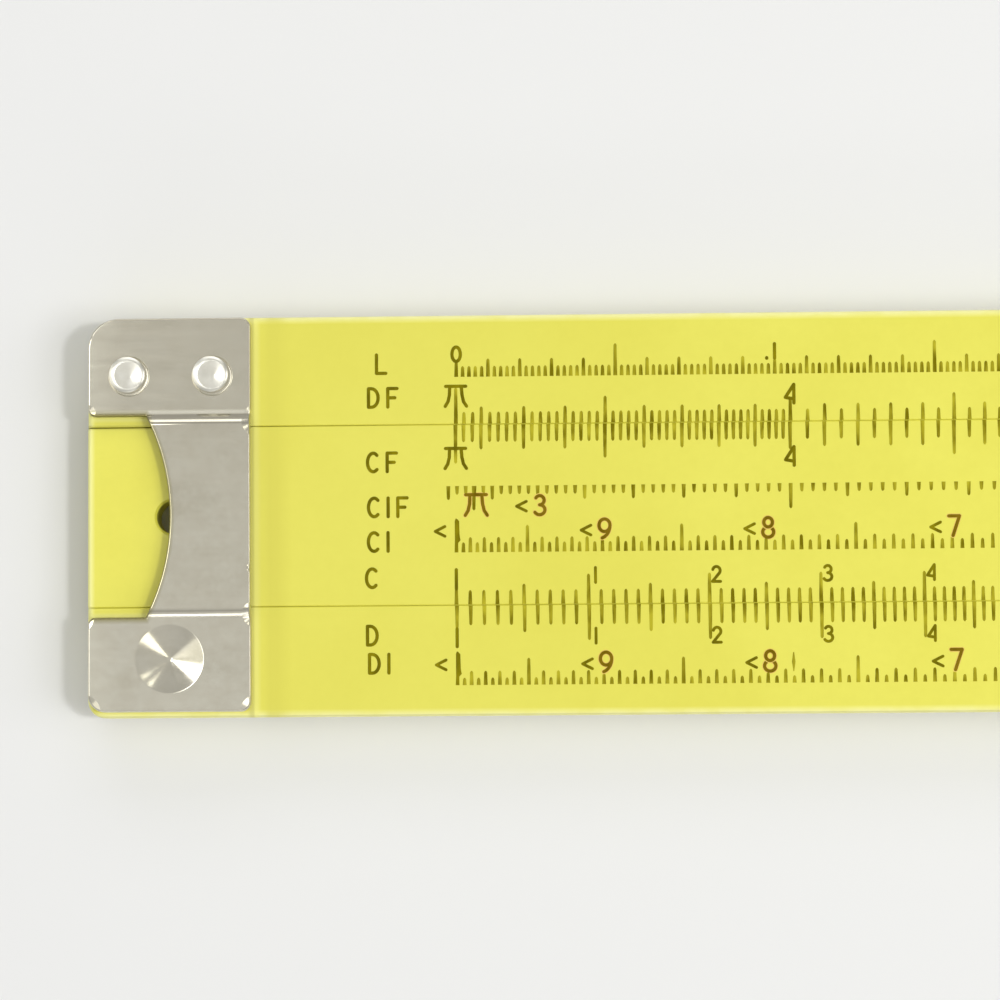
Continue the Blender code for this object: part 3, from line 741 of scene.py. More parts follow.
def hole_profile():
    """The section of a drilled hole whose two mouths are broken by a small chamfer."""
    rim = SLIDE_HOLE_RADIUS + 3 * INNER_ROUNDING
    mouth = HALF_THICKNESS + INNER_ROUNDING
    top = mouth + CUT_OVERRUN
    return doubled([(SLIDE_HOLE_RADIUS, mouth - 3 * INNER_ROUNDING), (rim, mouth), (rim, top), (0, top)])


# Brackets and rivets

def bracket_outline():
    """A bracket seen from its face, with its outer end and its finger notch towards -X."""
    end = HALF_BRACKET
    centre_x = NOTCH_DEPTH - end - NOTCH_RADIUS
    half_sweep = math.asin(NOTCH_LIP / NOTCH_RADIUS)
    angles = [half_sweep * (1 - 2 * i / NOTCH_STEPS) for i in range(NOTCH_STEPS + 1)]
    notch = [(centre_x + NOTCH_RADIUS * math.cos(a), NOTCH_RADIUS * math.sin(a), "rim", 0) for a in angles]
    return rounded([
        (-end, BRACKET_LOW.y, "rim", LOWER_CORNER_RADIUS),
        (end, BRACKET_LOW.y, "rim", BRACKET_CORNER_RADIUS),
        (end, BRACKET_HIGH.y, "rim", BRACKET_CORNER_RADIUS),
        (-end, BRACKET_HIGH.y, "rim", UPPER_CORNER_RADIUS),
        (-end, NOTCH_LIP, "rim", BRACKET_LIP_RADIUS),
        *notch,
        (-end, -NOTCH_LIP, "rim", BRACKET_LIP_RADIUS),
    ])


def joggle(y):
    """How far the sheet is raised at y. It leaves the pads on the stators at a sharp bend and comes
    round gently on to the bridge over the slide."""
    share = min(max((JOGGLE_STOP - abs(y)) / (JOGGLE_STOP - JOGGLE_START), 0), 1)
    return JOGGLE_HEIGHT * math.sin(math.pi / 2 * share)


def dimple_drop(radius):
    """How far the dimple's wall lies below its rim at this radius. The wall steepens a little outwards."""
    share = radius / DIMPLE_RADIUS
    return DIMPLE_DEPTH * (1 - share * (1 + DIMPLE_BOW * (share - 1)))


def dimple_curve(face):
    """The dimple's section from its rounded tip up its wall to its rounded lip, ending level with face."""
    slope = DIMPLE_DEPTH / DIMPLE_RADIUS * (1 + DIMPLE_BOW * (2 * DIMPLE_TIP / DIMPLE_RADIUS - 1))
    tip = [(DIMPLE_TIP * share, face - dimple_drop(DIMPLE_TIP) + slope * DIMPLE_TIP * (share * share - 1) / 2)
           for share in (0, 0.25, 0.5, 0.75, 1)]
    lip_start = DIMPLE_RADIUS - DIMPLE_LIP
    wall = [DIMPLE_TIP + (lip_start - DIMPLE_TIP) * i / WALL_STEPS for i in range(1, WALL_STEPS + 1)]
    middle = [(radius, face - dimple_drop(radius)) for radius in wall]
    lip = []
    for i in range(1, EDGE_STEPS + 1):
        share = i / EDGE_STEPS
        lip.append((lip_start + 2 * DIMPLE_LIP * share, face - dimple_drop(lip_start) * (1 - share) ** 2))
    return tip + middle + lip


def dimple_solid(face, end):
    """The section of the dimple below face as a solid that reaches up to the height end."""
    curve = dimple_curve(face)
    rim = curve[-1][0]
    return curve[:-1] + [(rim, face + SEAT_GAP / 10), (rim, end), (0, end)]


def bracket_mesh():
    """The left front bracket, riveted above and dimpled below, on z = 0 round the X of its middle."""
    rim = rounding(BRACKET_RIM_ROUNDING)
    underside = [(drop, {"rim": reach}) for reach, drop in reversed(rim)]
    face = [(BRACKET_THICKNESS - drop, {"rim": reach}) for reach, drop in rim]
    bm = stack(bracket_outline(), underside + face)
    run = JOGGLE_STOP - JOGGLE_START
    bends = [JOGGLE_START + run * i / JOGGLE_STEPS for i in range(JOGGLE_STEPS + 1)]
    for y in bends + [-y for y in bends]:
        geometry = bm.verts[:] + bm.edges[:] + bm.faces[:]
        bmesh.ops.bisect_plane(bm, geom=geometry, plane_co=(0, y, 0), plane_no=(0, 1, 0))
    for vert in bm.verts:
        vert.co.z += SEAT_GAP + joggle(vert.co.y)
    top = SEAT_GAP + BRACKET_THICKNESS
    boss = spun(dimple_solid(SEAT_GAP, top - DIMPLE_ROOT), [(0, -FASTENER_Y)])
    mesh = combined(mesh_from(bm), boss, "UNION")
    cutters = spun(dimple_solid(top, top + CUT_OVERRUN), [(0, -FASTENER_Y)])
    radius = RIVET_SHANK_RADIUS + RIVET_HOLE_CLEARANCE
    low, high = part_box(RIVET_NAMES[0])
    mark = seat_mark((high.x - low.x) / 2 + RIVET_HOLE_CLEARANCE, top)
    for x, _ in RIVET_PLACES[:2]:
        x -= BRACKET_X
        cutters += spun(pin(radius, BRACKET_THICKNESS), [(x, FASTENER_Y)])
        cutters += spun(mark, [(x + SEAT_MARK_SHIFT[0], FASTENER_Y + SEAT_MARK_SHIFT[1])])
    return combined(mesh, cutters)


def seat_mark(radius, top):
    """The section of the shallow conical mark that the setting tool leaves in the sheet round a rivet."""
    foot = top - SEAT_MARK_DEPTH
    reach = radius + SEAT_MARK_REACH
    wall = [(radius + SEAT_MARK_REACH * share, foot + SEAT_MARK_DEPTH * (3 - 2 * share) * share * share)
            for share in (0, 0.15, 0.3, 0.5, 0.7, 0.85)]
    end = top + CUT_OVERRUN
    return [(0, foot), *wall, (reach, top + SEAT_GAP / 10), (reach, end), (0, end)]


def add_brackets(finish):
    """Front and back brackets at both ends, each the mirror image of its neighbours."""
    base = bracket_mesh()
    for end, end_side in (("left", 1), ("right", -1)):
        for face, face_side in (("front", 1), ("back", -1)):
            name = f"{face}_{end}_bracket"
            mesh = mirrored(base, BRACKET_X, HALF_THICKNESS, end_side, face_side)
            add_piece(f"{name}_plate", mesh, finish, "frame", [name])
    bpy.data.meshes.remove(base)


def rivet_head(radius, top, foot):
    """A head's section from its foot up its wall and its sloping flank, over its crest into a round dish."""
    crest = radius * RIVET_CREST_SHARE
    wall_top = foot + (top - foot) * RIVET_WALL_SHARE
    bend = RIVET_BEND * radius
    slope = (top - wall_top) / (radius - crest)
    section = [(radius, foot), (radius, wall_top - bend * 0.6), (radius - bend * 0.25, wall_top - bend * 0.1),
               (radius - bend, wall_top + bend * slope * 0.7)]
    for share in (0.35, 0.7):
        reach = radius - bend + (crest - radius + bend) * share
        section.append((reach, top - (reach - crest) * slope * 0.92))
    section += [(crest, top - bend * 0.1), (crest - bend * 0.5, top), (crest - bend, top - bend * 0.1)]
    dish = crest - bend * 1.4
    floor = section[-1][1] - bend * 0.1
    for i in range(RIVET_STEPS):
        share = 1 - i / RIVET_STEPS
        depth = RIVET_DISH_DEPTH * (1 - share ** RIVET_DISH_POWER)
        section.append((dish * share, floor - depth))
    section.append((0, floor - RIVET_DISH_DEPTH))
    return section


def add_rivets(finish):
    """Four rivets through a front bracket, the upper stator and a back bracket, headed at both ends."""
    for name in RIVET_NAMES:
        low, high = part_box(name)
        seat = HALF_THICKNESS + SEAT_GAP + BRACKET_THICKNESS - SEAT_MARK_DEPTH
        widest = (high.x - low.x) / 2
        head = rivet_head(widest, high.z - MIDDLE, seat)
        body = turned(doubled([(RIVET_SHANK_RADIUS, seat), *head]))
        place = (low + high) / 2
        for vert in body.verts:
            share = math.hypot(vert.co.x, vert.co.y) / widest
            if abs(vert.co.z) > seat:
                vert.co += RIVET_LEAN * (1 - share * share)
        mesh = mesh_from(moved(body, (place.x, place.y, MIDDLE)))
        add_piece(f"{name}_body", mesh, finish, "frame", [name])


# Cursor

def add_windows(finish):
    """The cursor's clear front and back windows, with a bevelled rim and countersunk screw holes."""
    thickness = WINDOW_HIGH.z - WINDOW_LOW.z
    outline = rounded([
        (WINDOW_LOW.x, WINDOW_LOW.y, "rim", WINDOW_CORNER_RADIUS),
        (WINDOW_HIGH.x, WINDOW_LOW.y, "rim", WINDOW_CORNER_RADIUS),
        (WINDOW_HIGH.x, WINDOW_HIGH.y, "rim", WINDOW_CORNER_RADIUS),
        (WINDOW_LOW.x, WINDOW_HIGH.y, "rim", WINDOW_CORNER_RADIUS),
    ])
    back = [(drop, {"rim": reach}) for reach, drop in reversed(rounding(WINDOW_BACK_ROUNDING, 3))]
    front = [(thickness - WINDOW_BEVEL * drop, {"rim": WINDOW_BEVEL * reach})
             for drop, reach in WINDOW_BEVEL_SHARES]
    mouth = SCREW_HEAD_RADIUS + SCREW_CLEARANCE
    shank = SCREW_SHANK_RADIUS + SCREW_CLEARANCE
    foot = thickness - SCREW_HEAD_HEIGHT - SCREW_SINK - SCREW_CLEARANCE
    profile = [(0, -CUT_OVERRUN), (shank, -CUT_OVERRUN), (shank, foot), (mouth, thickness - SCREW_SINK),
               (mouth, thickness + CUT_OVERRUN), (0, thickness + CUT_OVERRUN)]
    base = combined(mesh_from(stack(outline, back + front)), spun(profile, SCREW_PLACES))
    for face, side in (("front", 1), ("back", -1)):
        mesh = mirrored(base, 0, WINDOW_LOW.z - MIDDLE, 1, side)
        name = f"{face}_window"
        pane = add_piece(f"{name}_pane", mesh, finish, "cursor", [name])
        pane.visible_shadow = False
        pane.visible_diffuse = False
    bpy.data.meshes.remove(base)


def add_runners(finish):
    """The bars that join the windows and ride on the stators' outer edges."""
    half_height = (RUNNER_HIGH.z - RUNNER_LOW.z) / 2
    outline = rounded([
        (RUNNER_LOW.x, RUNNER_LOW.y, "inner", 0),
        (RUNNER_HIGH.x, RUNNER_LOW.y, "side", 0),
        (RUNNER_HIGH.x, RUNNER_HIGH.y, "side", RUNNER_CORNER_RADIUS),
        (RUNNER_LOW.x, RUNNER_HIGH.y, "side", RUNNER_CORNER_RADIUS),
    ])
    upper_half = [(half_height - drop, {"side": reach, "inner": reach})
                  for reach, drop in rounding(RUNNER_ROUNDING, 4)]
    radius = SCREW_SHANK_RADIUS + SCREW_CLEARANCE
    spring_height = SPRING_HIGH.z - SPRING_LOW.z
    for name, turn in (("upper_runner", 0), ("lower_runner", math.pi)):
        cutters = spun(pin(radius, half_height), [(x, y) for x, y in SCREW_PLACES if y > 0])
        if not turn:
            size = (SPRING_HIGH.x - SPRING_LOW.x + 2 * SPRING_RECESS_MARGIN, 2 * SPRING_RECESS_DEPTH,
                    spring_height + 2 * SPRING_RECESS_MARGIN)
            cutters.append(mesh_from(box(size, (CURSOR_X, RUNNER_LOW.y, 0))))
        mesh = combined(mesh_from(stack(outline, both_faces(upper_half))), cutters)
        about = Matrix.Translation((CURSOR_X, 0, MIDDLE)) @ Matrix.Rotation(turn, 4, "Z")
        mesh.transform(about @ Matrix.Translation((-CURSOR_X, 0, 0)))
        add_piece(f"{name}_bar", mesh, finish, "cursor", [name])


def add_spring(finish):
    """A bowed leaf whose ends press on the recess in the upper runner and its middle on the stator."""
    half = (SPRING_HIGH.x - SPRING_LOW.x) / 2
    bow = SPRING_HIGH.y - SPRING_LOW.y - SPRING_THICKNESS
    stations = [half * (2 * i / SPRING_STEPS - 1) for i in range(SPRING_STEPS + 1)]
    near = [(CURSOR_X + x, SPRING_LOW.y + bow * (x / half) ** 2, "side") for x in stations]
    far = [(x, y + SPRING_THICKNESS, tag) for x, y, tag in reversed(near)]
    mesh = mesh_from(stack(near + far, [(SPRING_LOW.z, {}), (SPRING_HIGH.z, {})]))
    add_piece("tension_spring_leaf", mesh, finish, "cursor", ["tension_spring"])


def add_screws(finish):
    """Four slotted countersunk screws through each window into the runners."""
    for name, degrees in zip(SCREW_NAMES, SCREW_TURNS):
        low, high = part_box(name)
        length = high.z - low.z
        profile = [
            (0, -length), (SCREW_SHANK_RADIUS, -length), (SCREW_SHANK_RADIUS, -SCREW_HEAD_HEIGHT),
            (SCREW_HEAD_RADIUS, -SCREW_EDGE), (SCREW_HEAD_RADIUS - SCREW_EDGE / 3, -SCREW_EDGE / 3),
            (SCREW_HEAD_RADIUS - SCREW_EDGE, 0), (0, 0),
        ]
        slot = box((4 * SCREW_HEAD_RADIUS, SLOT_WIDTH, 2 * SLOT_DEPTH), (0, 0, 0))
        mesh = combined(mesh_from(turned(profile)), [mesh_from(slot)])
        upright = low.z + high.z > 2 * MIDDLE
        place = (*middle_of(name), high.z if upright else low.z)
        tilt = Matrix.Rotation(0 if upright else math.pi, 4, "X")
        spin = Matrix.Rotation(math.radians(degrees), 4, "Z")
        mesh.transform(Matrix.Translation(place) @ tilt @ spin)
        add_piece(f"{name}_body", mesh, finish, "cursor", [name])


def add_hairlines(finish):
    """The engraved and inked line down the inner face of each window."""
    size = (HAIRLINE_WIDTH, 2 * (RUNNER_LOW.y - HAIRLINE_MARGIN), HAIRLINE_DEPTH)
    gap = HAIRLINE_DEPTH / 2
    for face, z in (("front", WINDOW_LOW.z - gap), ("back", 2 * MIDDLE - WINDOW_LOW.z + gap)):
        mesh = mesh_from(box(size, (CURSOR_X, 0, z)))
        add_piece(f"{face}_hairline", mesh, finish, "cursor", smooth=False)


# Print. A glyph is its width and its strokes, on a height of 1. A stroke joins points (x, y) and
# arcs (centre x, centre y, radius x, radius y, first angle, last angle).
GLYPHS = {
    "0": (0.58, [[(0.29, 0.5, 0.29, 0.5, 90, 450)]]),
    "1": (0.0, [[(0, 0), (0, 1)]]),
    "2": (0.54, [[(0.27, 0.73, 0.25, 0.27, 165, -35), (0, 0), (0.54, 0)]]),
    "3": (0.54, [[(0.26, 0.76, 0.23, 0.24, 150, -90)], [(0.25, 0.26, 0.28, 0.26, 90, -150)]]),
    "4": (0.52, [[(0.46, 0), (0.46, 1), (0, 0.3), (0.46, 0.22)]]),
    "5": (0.54, [[(0.5, 1), (0.1, 1), (0.06, 0.55)], [(0.25, 0.31, 0.29, 0.31, 132, -145)]]),
    "6": (0.56, [[(0.28, 0.3, 0.28, 0.3, 0, 360)], [(0.58, 0.32, 0.58, 0.68, 180, 108)]]),
    "7": (0.54, [[(0, 1), (0.54, 1), (0.2, 0)]]),
    "8": (0.56, [[(0.28, 0.76, 0.22, 0.24, 0, 360)], [(0.28, 0.26, 0.28, 0.26, 0, 360)]]),
    "9": (0.56, [[(0.28, 0.68, 0.28, 0.32, 0, 360)], [(-0.02, 0.68, 0.58, 0.68, 0, -72)]]),
    ".": (0.0, [[(0, 0), (0, 0.04)]]),
    "<": (1.0, [[(1, 1), (0, 0.5), (1, 0)]]),
    "p": (1.08, [[(0, 1.08), (1.08, 1.08)], [(0.22, 1.08), (0.2, 0.6), (0.12, 0.25), (-0.03, 0)],
                 [(0.84, 1.08), (0.88, 0.6), (0.96, 0.25), (1.12, 0)]]),
    "A": (0.6, [[(0, 0), (0.3, 1), (0.6, 0)], [(0.1, 0.33), (0.5, 0.33)]]),
    "B": (0.5, [[(0, 0), (0, 1), (0.2, 0.76, 0.25, 0.24, 90, -90), (0, 0.52)],
                [(0, 0.52), (0.21, 0.26, 0.29, 0.26, 90, -90), (0, 0)]]),
    "C": (0.54, [[(0.31, 0.5, 0.31, 0.5, 50, 310)]]),
    "D": (0.52, [[(0, 0), (0, 1), (0.16, 0.5, 0.36, 0.5, 90, -90), (0, 0)]]),
    "F": (0.5, [[(0, 0), (0, 1), (0.5, 1)], [(0, 0.5), (0.38, 0.5)]]),
    "I": (0.0, [[(0, 0), (0, 1)]]),
    "K": (0.52, [[(0, 0), (0, 1)], [(0.5, 1), (0, 0.4)], [(0.17, 0.6), (0.52, 0)]]),
    "L": (0.5, [[(0, 1), (0, 0), (0.5, 0)]]),
    "S": (0.52, [[(0.26, 0.75, 0.25, 0.25, 35, 270), (0.26, 0.25, 0.26, 0.25, 90, -145)]]),
    "T": (0.56, [[(0, 1), (0.56, 1)], [(0.28, 1), (0.28, 0)]]),
}


class Print:
    """The faces of a print, as thin closed bars in (x, y, height above the face)."""

    def __init__(self, rise, spread=0.0):
        self.verts = []
        self.faces = []
        self.rise = rise
        self.spread = spread
        self.strokes = 0

    def bar(self, stations, closed=False):
        """A bar through stations, each the two points (x, y) at its right and left edge. Bars that
        overlap lie at slightly different heights."""
        rise = self.rise + LAYER_STEP * (self.strokes % LAYERS)
        self.strokes += 1
        first = len(self.verts)
        for right, left in stations:
            self.verts += [(*right, rise), (*left, rise), (*right, -INK_ROOT), (*left, -INK_ROOT)]
        last = first + 4 * (len(stations) - 1)
        starts = list(range(first, last + 4, 4))
        links = list(zip(starts, starts[1:]))
        if closed:
            links.append((last, first))
        else:
            self.faces += [(first, first + 1, first + 3, first + 2), (last, last + 2, last + 3, last + 1)]
        for a, b in links:
            self.faces += [(a, b, b + 1, a + 1), (a + 2, a + 3, b + 3, b + 2),
                           (a, a + 2, b + 2, b), (a + 1, b + 1, b + 3, a + 3)]

    def tick(self, x, base, tip):
        """A tick from the height base to tip, narrower at its rounded tip."""
        way = math.copysign(1, tip - base)
        stations = ((base, TICK_BASE_WIDTH / 2), (tip - way * TICK_TIP_WIDTH / 2, TICK_TIP_WIDTH / 2),
                    (tip, TICK_TIP_WIDTH / 5))
        self.bar([((x + way * half, y), (x - way * half, y)) for y, half in stations])

    def ribbon(self, points, width):
        """A bar of even width with round ends that follows points."""
        points = [Vector(point) for point in points]
        closed = (points[0] - points[-1]).length < INK_RISE
        aheads = [(b - a).normalized() for a, b in zip(points, points[1:])]
        half = width / 2 + self.spread
        if closed:
            points.pop()
        stations = []
        for i, point in enumerate(points):
            before = aheads[i - 1 if closed else max(i - 1, 0)]
            after = aheads[min(i, len(aheads) - 1)]
            along = (before + after).normalized()
            reach = half / max(along.dot(after), 0.5)
            across = Vector((along.y, -along.x)) * reach
            stations.append((point + across, point - across))
        if closed:
            self.bar(stations, True)
            return
        caps = []
        for point, along in ((points[0], -aheads[0]), (points[-1], aheads[-1])):
            across = Vector((along.y, -along.x)) * half
            cap = []
            for degrees in CAP_ANGLES:
                angle = math.radians(degrees)
                centre = point + along * (half * math.sin(angle))
                cap.append((centre + across * math.cos(angle), centre - across * math.cos(angle)))
            caps.append(cap)
        start = [(left, right) for right, left in reversed(caps[0])]
        self.bar(start + stations + caps[1])

    def glyph(self, character, x, y, height, width):
        """One character whose strokes start at x and stand on y, drawn with the given stroke width."""
        for stroke in GLYPHS[character][1]:
            path = []
            for item in stroke:
                path += arc(*item) if len(item) > 2 else [item]
            path = [Vector((x + u * height, y + v * height)) for u, v in path]
            for part in split_at_corners(path):
                self.ribbon(part, width)

    def text(self, text, x, y, height, width, gap=FIGURE_GAP):
        """Characters in a row from x."""
        for character in text:
            self.glyph(character, x, y, height, width)
            x += (GLYPHS[character][0] + gap) * height

    def centred(self, text, x, y, height, width, gap=FIGURE_GAP):
        """Characters in a row whose middle is at x."""
        self.text(text, x - text_width(text, gap) * height / 2, y, height, width, gap)


def text_width(text, gap):
    """The width of a row of characters, on a height of 1."""
    return sum(GLYPHS[character][0] for character in text) + gap * (len(text) - 1)


def arc(centre_x, centre_y, radius_x, radius_y, first, last):
    """The points along part of an ellipse between two angles in degrees."""
    steps = max(round(abs(last - first) / ARC_STEP), 1)
    angles = [math.radians(first + (last - first) * i / steps) for i in range(steps + 1)]
    return [(centre_x + radius_x * math.cos(a), centre_y + radius_y * math.sin(a)) for a in angles]


def split_at_corners(path):
    """The path in parts that meet at its sharp corners, with no point twice in a row."""
    points = [path[0]]
    for point in path[1:]:
        if (point - points[-1]).length > INK_RISE:
            points.append(point)
    parts = [[points[0], points[1]]]
    for before, corner, after in zip(points, points[1:], points[2:]):
        if (corner - before).angle(after - corner) > CORNER_TURN:
            parts.append([corner, after])
        else:
            parts[-1].append(after)
    return parts


# The rows of scales, from the top of a face down: in millimetres, the height of the ticks' base, of the
# tips of short, medium and long ticks and of ticks under a figure, the foot and height of the figures,
# the foot of small figures, the left side and foot of the letters, and how far along the row is shifted
Row = namedtuple("Row", "base short medium long held foot height small letters_x letters_foot shift")
STATOR_PRINT_EDGE = (STATOR_INNER_EDGE - GAP_FILL + INNER_ROUNDING / 2) / MM
SLIDE_PRINT_EDGE = (SLIDE_SIDE + GAP_FILL - INNER_ROUNDING / 2) / MM
ROWS = {
    "top": Row(10.85, 11.69, 12.27, 13.37, 12.06, 11.94, 1.40, 11.94, -6.18, 11.06, 0.10),
    "upper_gap": Row(STATOR_PRINT_EDGE, 8.07, 8.49, 9.24, 8.90, 8.40, 1.72, 8.50, -6.82, 8.39, 0.05),
    "slide_top": Row(SLIDE_PRINT_EDGE, 5.70, 5.12, 4.38, 4.90, 3.50, 1.72, 4.20, -6.92, 3.30, 0.01),
    "slide_upper": Row(2.24, 1.57, 1.16, 0.27, 1.46, -0.20, 1.76, 0.0, -6.86, -0.24, 0.0),
    "slide_lower": Row(-2.97, -2.19, -1.79, -0.86, -2.00, -2.12, 1.80, -2.05, -6.88, -2.96, 0.035),
    "slide_bottom": Row(-SLIDE_PRINT_EDGE, -5.94, -5.48, -4.73, -5.80, -5.95, 1.75, -5.53, -7.04, -5.80,
                        0.01),
    "lower_gap": Row(-STATOR_PRINT_EDGE, -8.68, -9.25, -9.91, -8.95, -10.48, 1.65, -10.28, -6.98, -10.30,
                     0.045),
    "bottom": Row(-13.36, -12.79, -12.26, -11.27, -12.52, -12.58, 1.84, -12.4, -6.83, -12.50, 0.065),
}
LETTER_HEIGHT = 1.72
SMALL_HEIGHT = 1.40
RIGHT_LETTERS_X = 254.6
FOLD = math.pi

# The ticks of each kind of scale, as (start, stop, step, medium step, long step) in thousandths
DECADE = ((1000, 2000, 10, 50, 100), (2000, 4000, 20, 100, 500), (4000, 10001, 50, 100, 500))
FOLDED = ((3160, 4000, 20, 100, 500), (4000, 10000, 50, 100, 500), (10000, 20000, 100, 500, 1000),
          (20000, 31401, 200, 1000, 5000))
INVERSE_FOLDED = ((320, 400, 2, 10, 50), (400, 1000, 5, 10, 50), (1000, 2000, 10, 50, 100),
                  (2000, 3201, 20, 100, 500))
EVEN = ((0, 1001, 2, 10, 50),)
SQUARES = ((1000, 2000, 20, 100, 500), (2000, 5000, 50, 100, 500), (5000, 10000, 100, 500, 1000),
           (10000, 20000, 200, 1000, 5000), (20000, 50000, 500, 1000, 5000),
           (50000, 100001, 1000, 5000, 10000))
CUBES = tuple((start * power, stop * power, step * power, medium * power, longest * power)
              for power in (1, 10, 100)
              for start, stop, step, medium, longest in
              ((1000, 3000, 50, 100, 500), (3000, 6000, 100, 500, 1000), (6000, 10000, 200, 1000, 1000)))
SINES = ((6000, 10000, 100, 500, 1000), (10000, 20000, 200, 1000, 5000), (20000, 40000, 500, 1000, 5000),
         (40000, 70000, 1000, 5000, 10000), (70000, 90001, 5000, 10000, 10000))
TANGENTS = ((6000, 10000, 100, 500, 1000), (10000, 20000, 200, 1000, 5000), (20000, 45001, 500, 1000, 5000))


def digits(values, factor=1):
    """Figures for whole numbers, each with the value it marks."""
    return [(str(value), value * factor) for value in values]


ONES = digits(range(1, 10)) + [("1", 10)]
TENTHS = [(str(i), 1 + i / 10) for i in range(1, 10)]
FOLDED_FIGURES = [("p", FOLD), *digits(range(4, 10)), ("1", 10), ("2", 20), ("3", 30), ("p", 10 * FOLD)]
FOLDED_TENTHS = [(str(i), 10 + i) for i in range(1, 10)]
INVERSE_FOLDED_FIGURES = [("p", FOLD), ("3", 3), ("2", 2), ("1", 1), *digits(range(4, 10), 0.1),
                          ("p", FOLD / 10)]
EVEN_FIGURES = [("0", 0), *((f".{i}", i / 10) for i in range(1, 10)), ("1", 1)]
SQUARE_FIGURES = digits(range(1, 10)) + digits(range(1, 10), 10) + [("1", 100)]
CUBE_FIGURES = [(str(i), i * power) for power in (1, 10, 100) for i in range(1, 10)] + [("1", 1000)]
SINE_FIGURES = digits((6, 7, 8, 9, 10, 15, 20, 25, 30, 35, 40, 50, 60, 70, 90))
TANGENT_FIGURES = digits((6, 7, 8, 9, 10, 15, 20, 25, 30, 35, 40, 45))

# Each kind of scale: how far along a value stands, its ticks, figures and small figures, and whether it
# runs backwards
Kind = namedtuple("Kind", "share ticks figures small inverse", defaults=((), False))
KINDS = {
    "even": Kind(lambda value: value, EVEN, EVEN_FIGURES),
    "log": Kind(math.log10, DECADE, ONES, TENTHS),
    "inverse": Kind(lambda value: 1 - math.log10(value), DECADE, ONES, (), True),
    "folded": Kind(lambda value: math.log10(value / FOLD), FOLDED, FOLDED_FIGURES, FOLDED_TENTHS),
    "inverse_folded": Kind(lambda value: math.log10(10 / (FOLD * value)), INVERSE_FOLDED,
                           INVERSE_FOLDED_FIGURES, (), True),
    "square": Kind(lambda value: math.log10(value) / 2, SQUARES, SQUARE_FIGURES),
    "cube": Kind(lambda value: math.log10(value) / 3, CUBES, CUBE_FIGURES),
    "sine": Kind(lambda value: math.log10(10 * math.sin(math.radians(value))), SINES, SINE_FIGURES),
    "tangent": Kind(lambda value: math.log10(10 * math.tan(math.radians(value))), TANGENTS, TANGENT_FIGURES),
}

# The letters and kind of each face's scales, row by row
SCALES = {
    "front": (("L", "even"), ("DF", "folded"), ("CF", "folded"), ("CIF", "inverse_folded"),
              ("CI", "inverse"), ("C", "log"), ("D", "log"), ("DI", "inverse")),
    "back": (("K", "cube"), ("A", "square"), ("B", "square"), ("S", "sine"),
             ("T", "tangent"), ("C", "log"), ("D", "log"), ("DI", "inverse")),
}

# Marks between the figures: the value, low end and high end
GAUGES = {"di_scale": ((10 * math.pi / 4, -12.46, -10.98),)}


def print_ticks(kind, row, gauges, marks):
    """The ticks of a scale, with those under a figure cut short, and its gauge marks."""
    places = {round(kind.share(value), 6) for _, value in kind.figures}
    crossed = {round(kind.share(value), 6) for text, value in kind.figures if text == "p"}
    way = math.copysign(1, row.foot - row.base)
    ticks = []
    for start, stop, step, medium, longest in kind.ticks:
        for value in range(start, stop, step):
            share = kind.share(value / 1000)
            if round(share, 6) not in places:
                tip = row.long if value % longest == 0 else row.medium if value % medium == 0 else row.short
                ticks.append((share, tip))
    for share in sorted(places):
        through = row.foot + row.height * (0.5 + 0.43 * way if way > 0 else 0.3)
        ticks.append((share, through if share in crossed else row.held))
    for share, tip in ticks:
        marks.tick(share * SCALE_LENGTH + row.shift * MM, row.base * MM, tip * MM)
    for value, low, high in gauges:
        x = kind.share(value) * SCALE_LENGTH + row.shift * MM
        widths = ((low, 0.3), ((low + high) / 2, 1.15), (high, 0.3))
        marks.bar([((x + TICK_TIP_WIDTH * w / 2, y * MM), (x - TICK_TIP_WIDTH * w / 2, y * MM))
                   for y, w in widths])


def print_index(row, marks, x):
    """The index of an inverse scale, where the figure 1 has run together with its tick."""
    foot = row.foot
    top = row.foot + row.height
    left = INDEX_LEFT
    stations = ((row.base, left, 0.10), (foot - 0.1, left, 0.14), (foot + 0.1, left, 0.32),
                (foot + 0.5, left, 0.25), (top - 0.2, left, 0.22), (top, left / 2, 0.04))
    marks.bar([((x + right * MM, y * MM), (x + left * MM, y * MM)) for y, left, right in stations])


def print_figures(kind, row, letters, prints, plain):
    """A scale's figures into each of the prints, and its letters and arrows into plain."""
    stroke = STROKE_WIDTH
    height = row.height * MM - stroke
    foot = row.foot * MM + stroke / 2
    for text, value in kind.figures:
        x = kind.share(value) * SCALE_LENGTH + row.shift * MM
        if kind.inverse and text != "p":
            plain.glyph("<", x - ARROW_SHIFT, foot + ARROW_RISE, ARROW_SIZE, SMALL_STROKE_WIDTH)
        if kind.inverse and text == "1" and row.foot > row.base:
            print_index(row, plain, x)
            continue
        if kind.inverse:
            x += RED_SHIFT
        if text.startswith("."):
            plain.glyph(".", x - POINT_SHIFT, foot, height, stroke)
            text = text[1:]
        for marks in prints:
            marks.centred(text, x, foot, height, stroke)
    small = SMALL_STROKE_WIDTH
    for text, value in kind.small:
        x = kind.share(value) * SCALE_LENGTH + SMALL_FIGURE_SHIFT
        plain.centred(text, x, row.small * MM + small / 2, SMALL_HEIGHT * MM - small, small)
    height = LETTER_HEIGHT * MM - stroke
    for x in (row.letters_x, RIGHT_LETTERS_X):
        plain.text(letters, x * MM, row.letters_foot * MM + stroke / 2, height, stroke, LETTER_GAP)


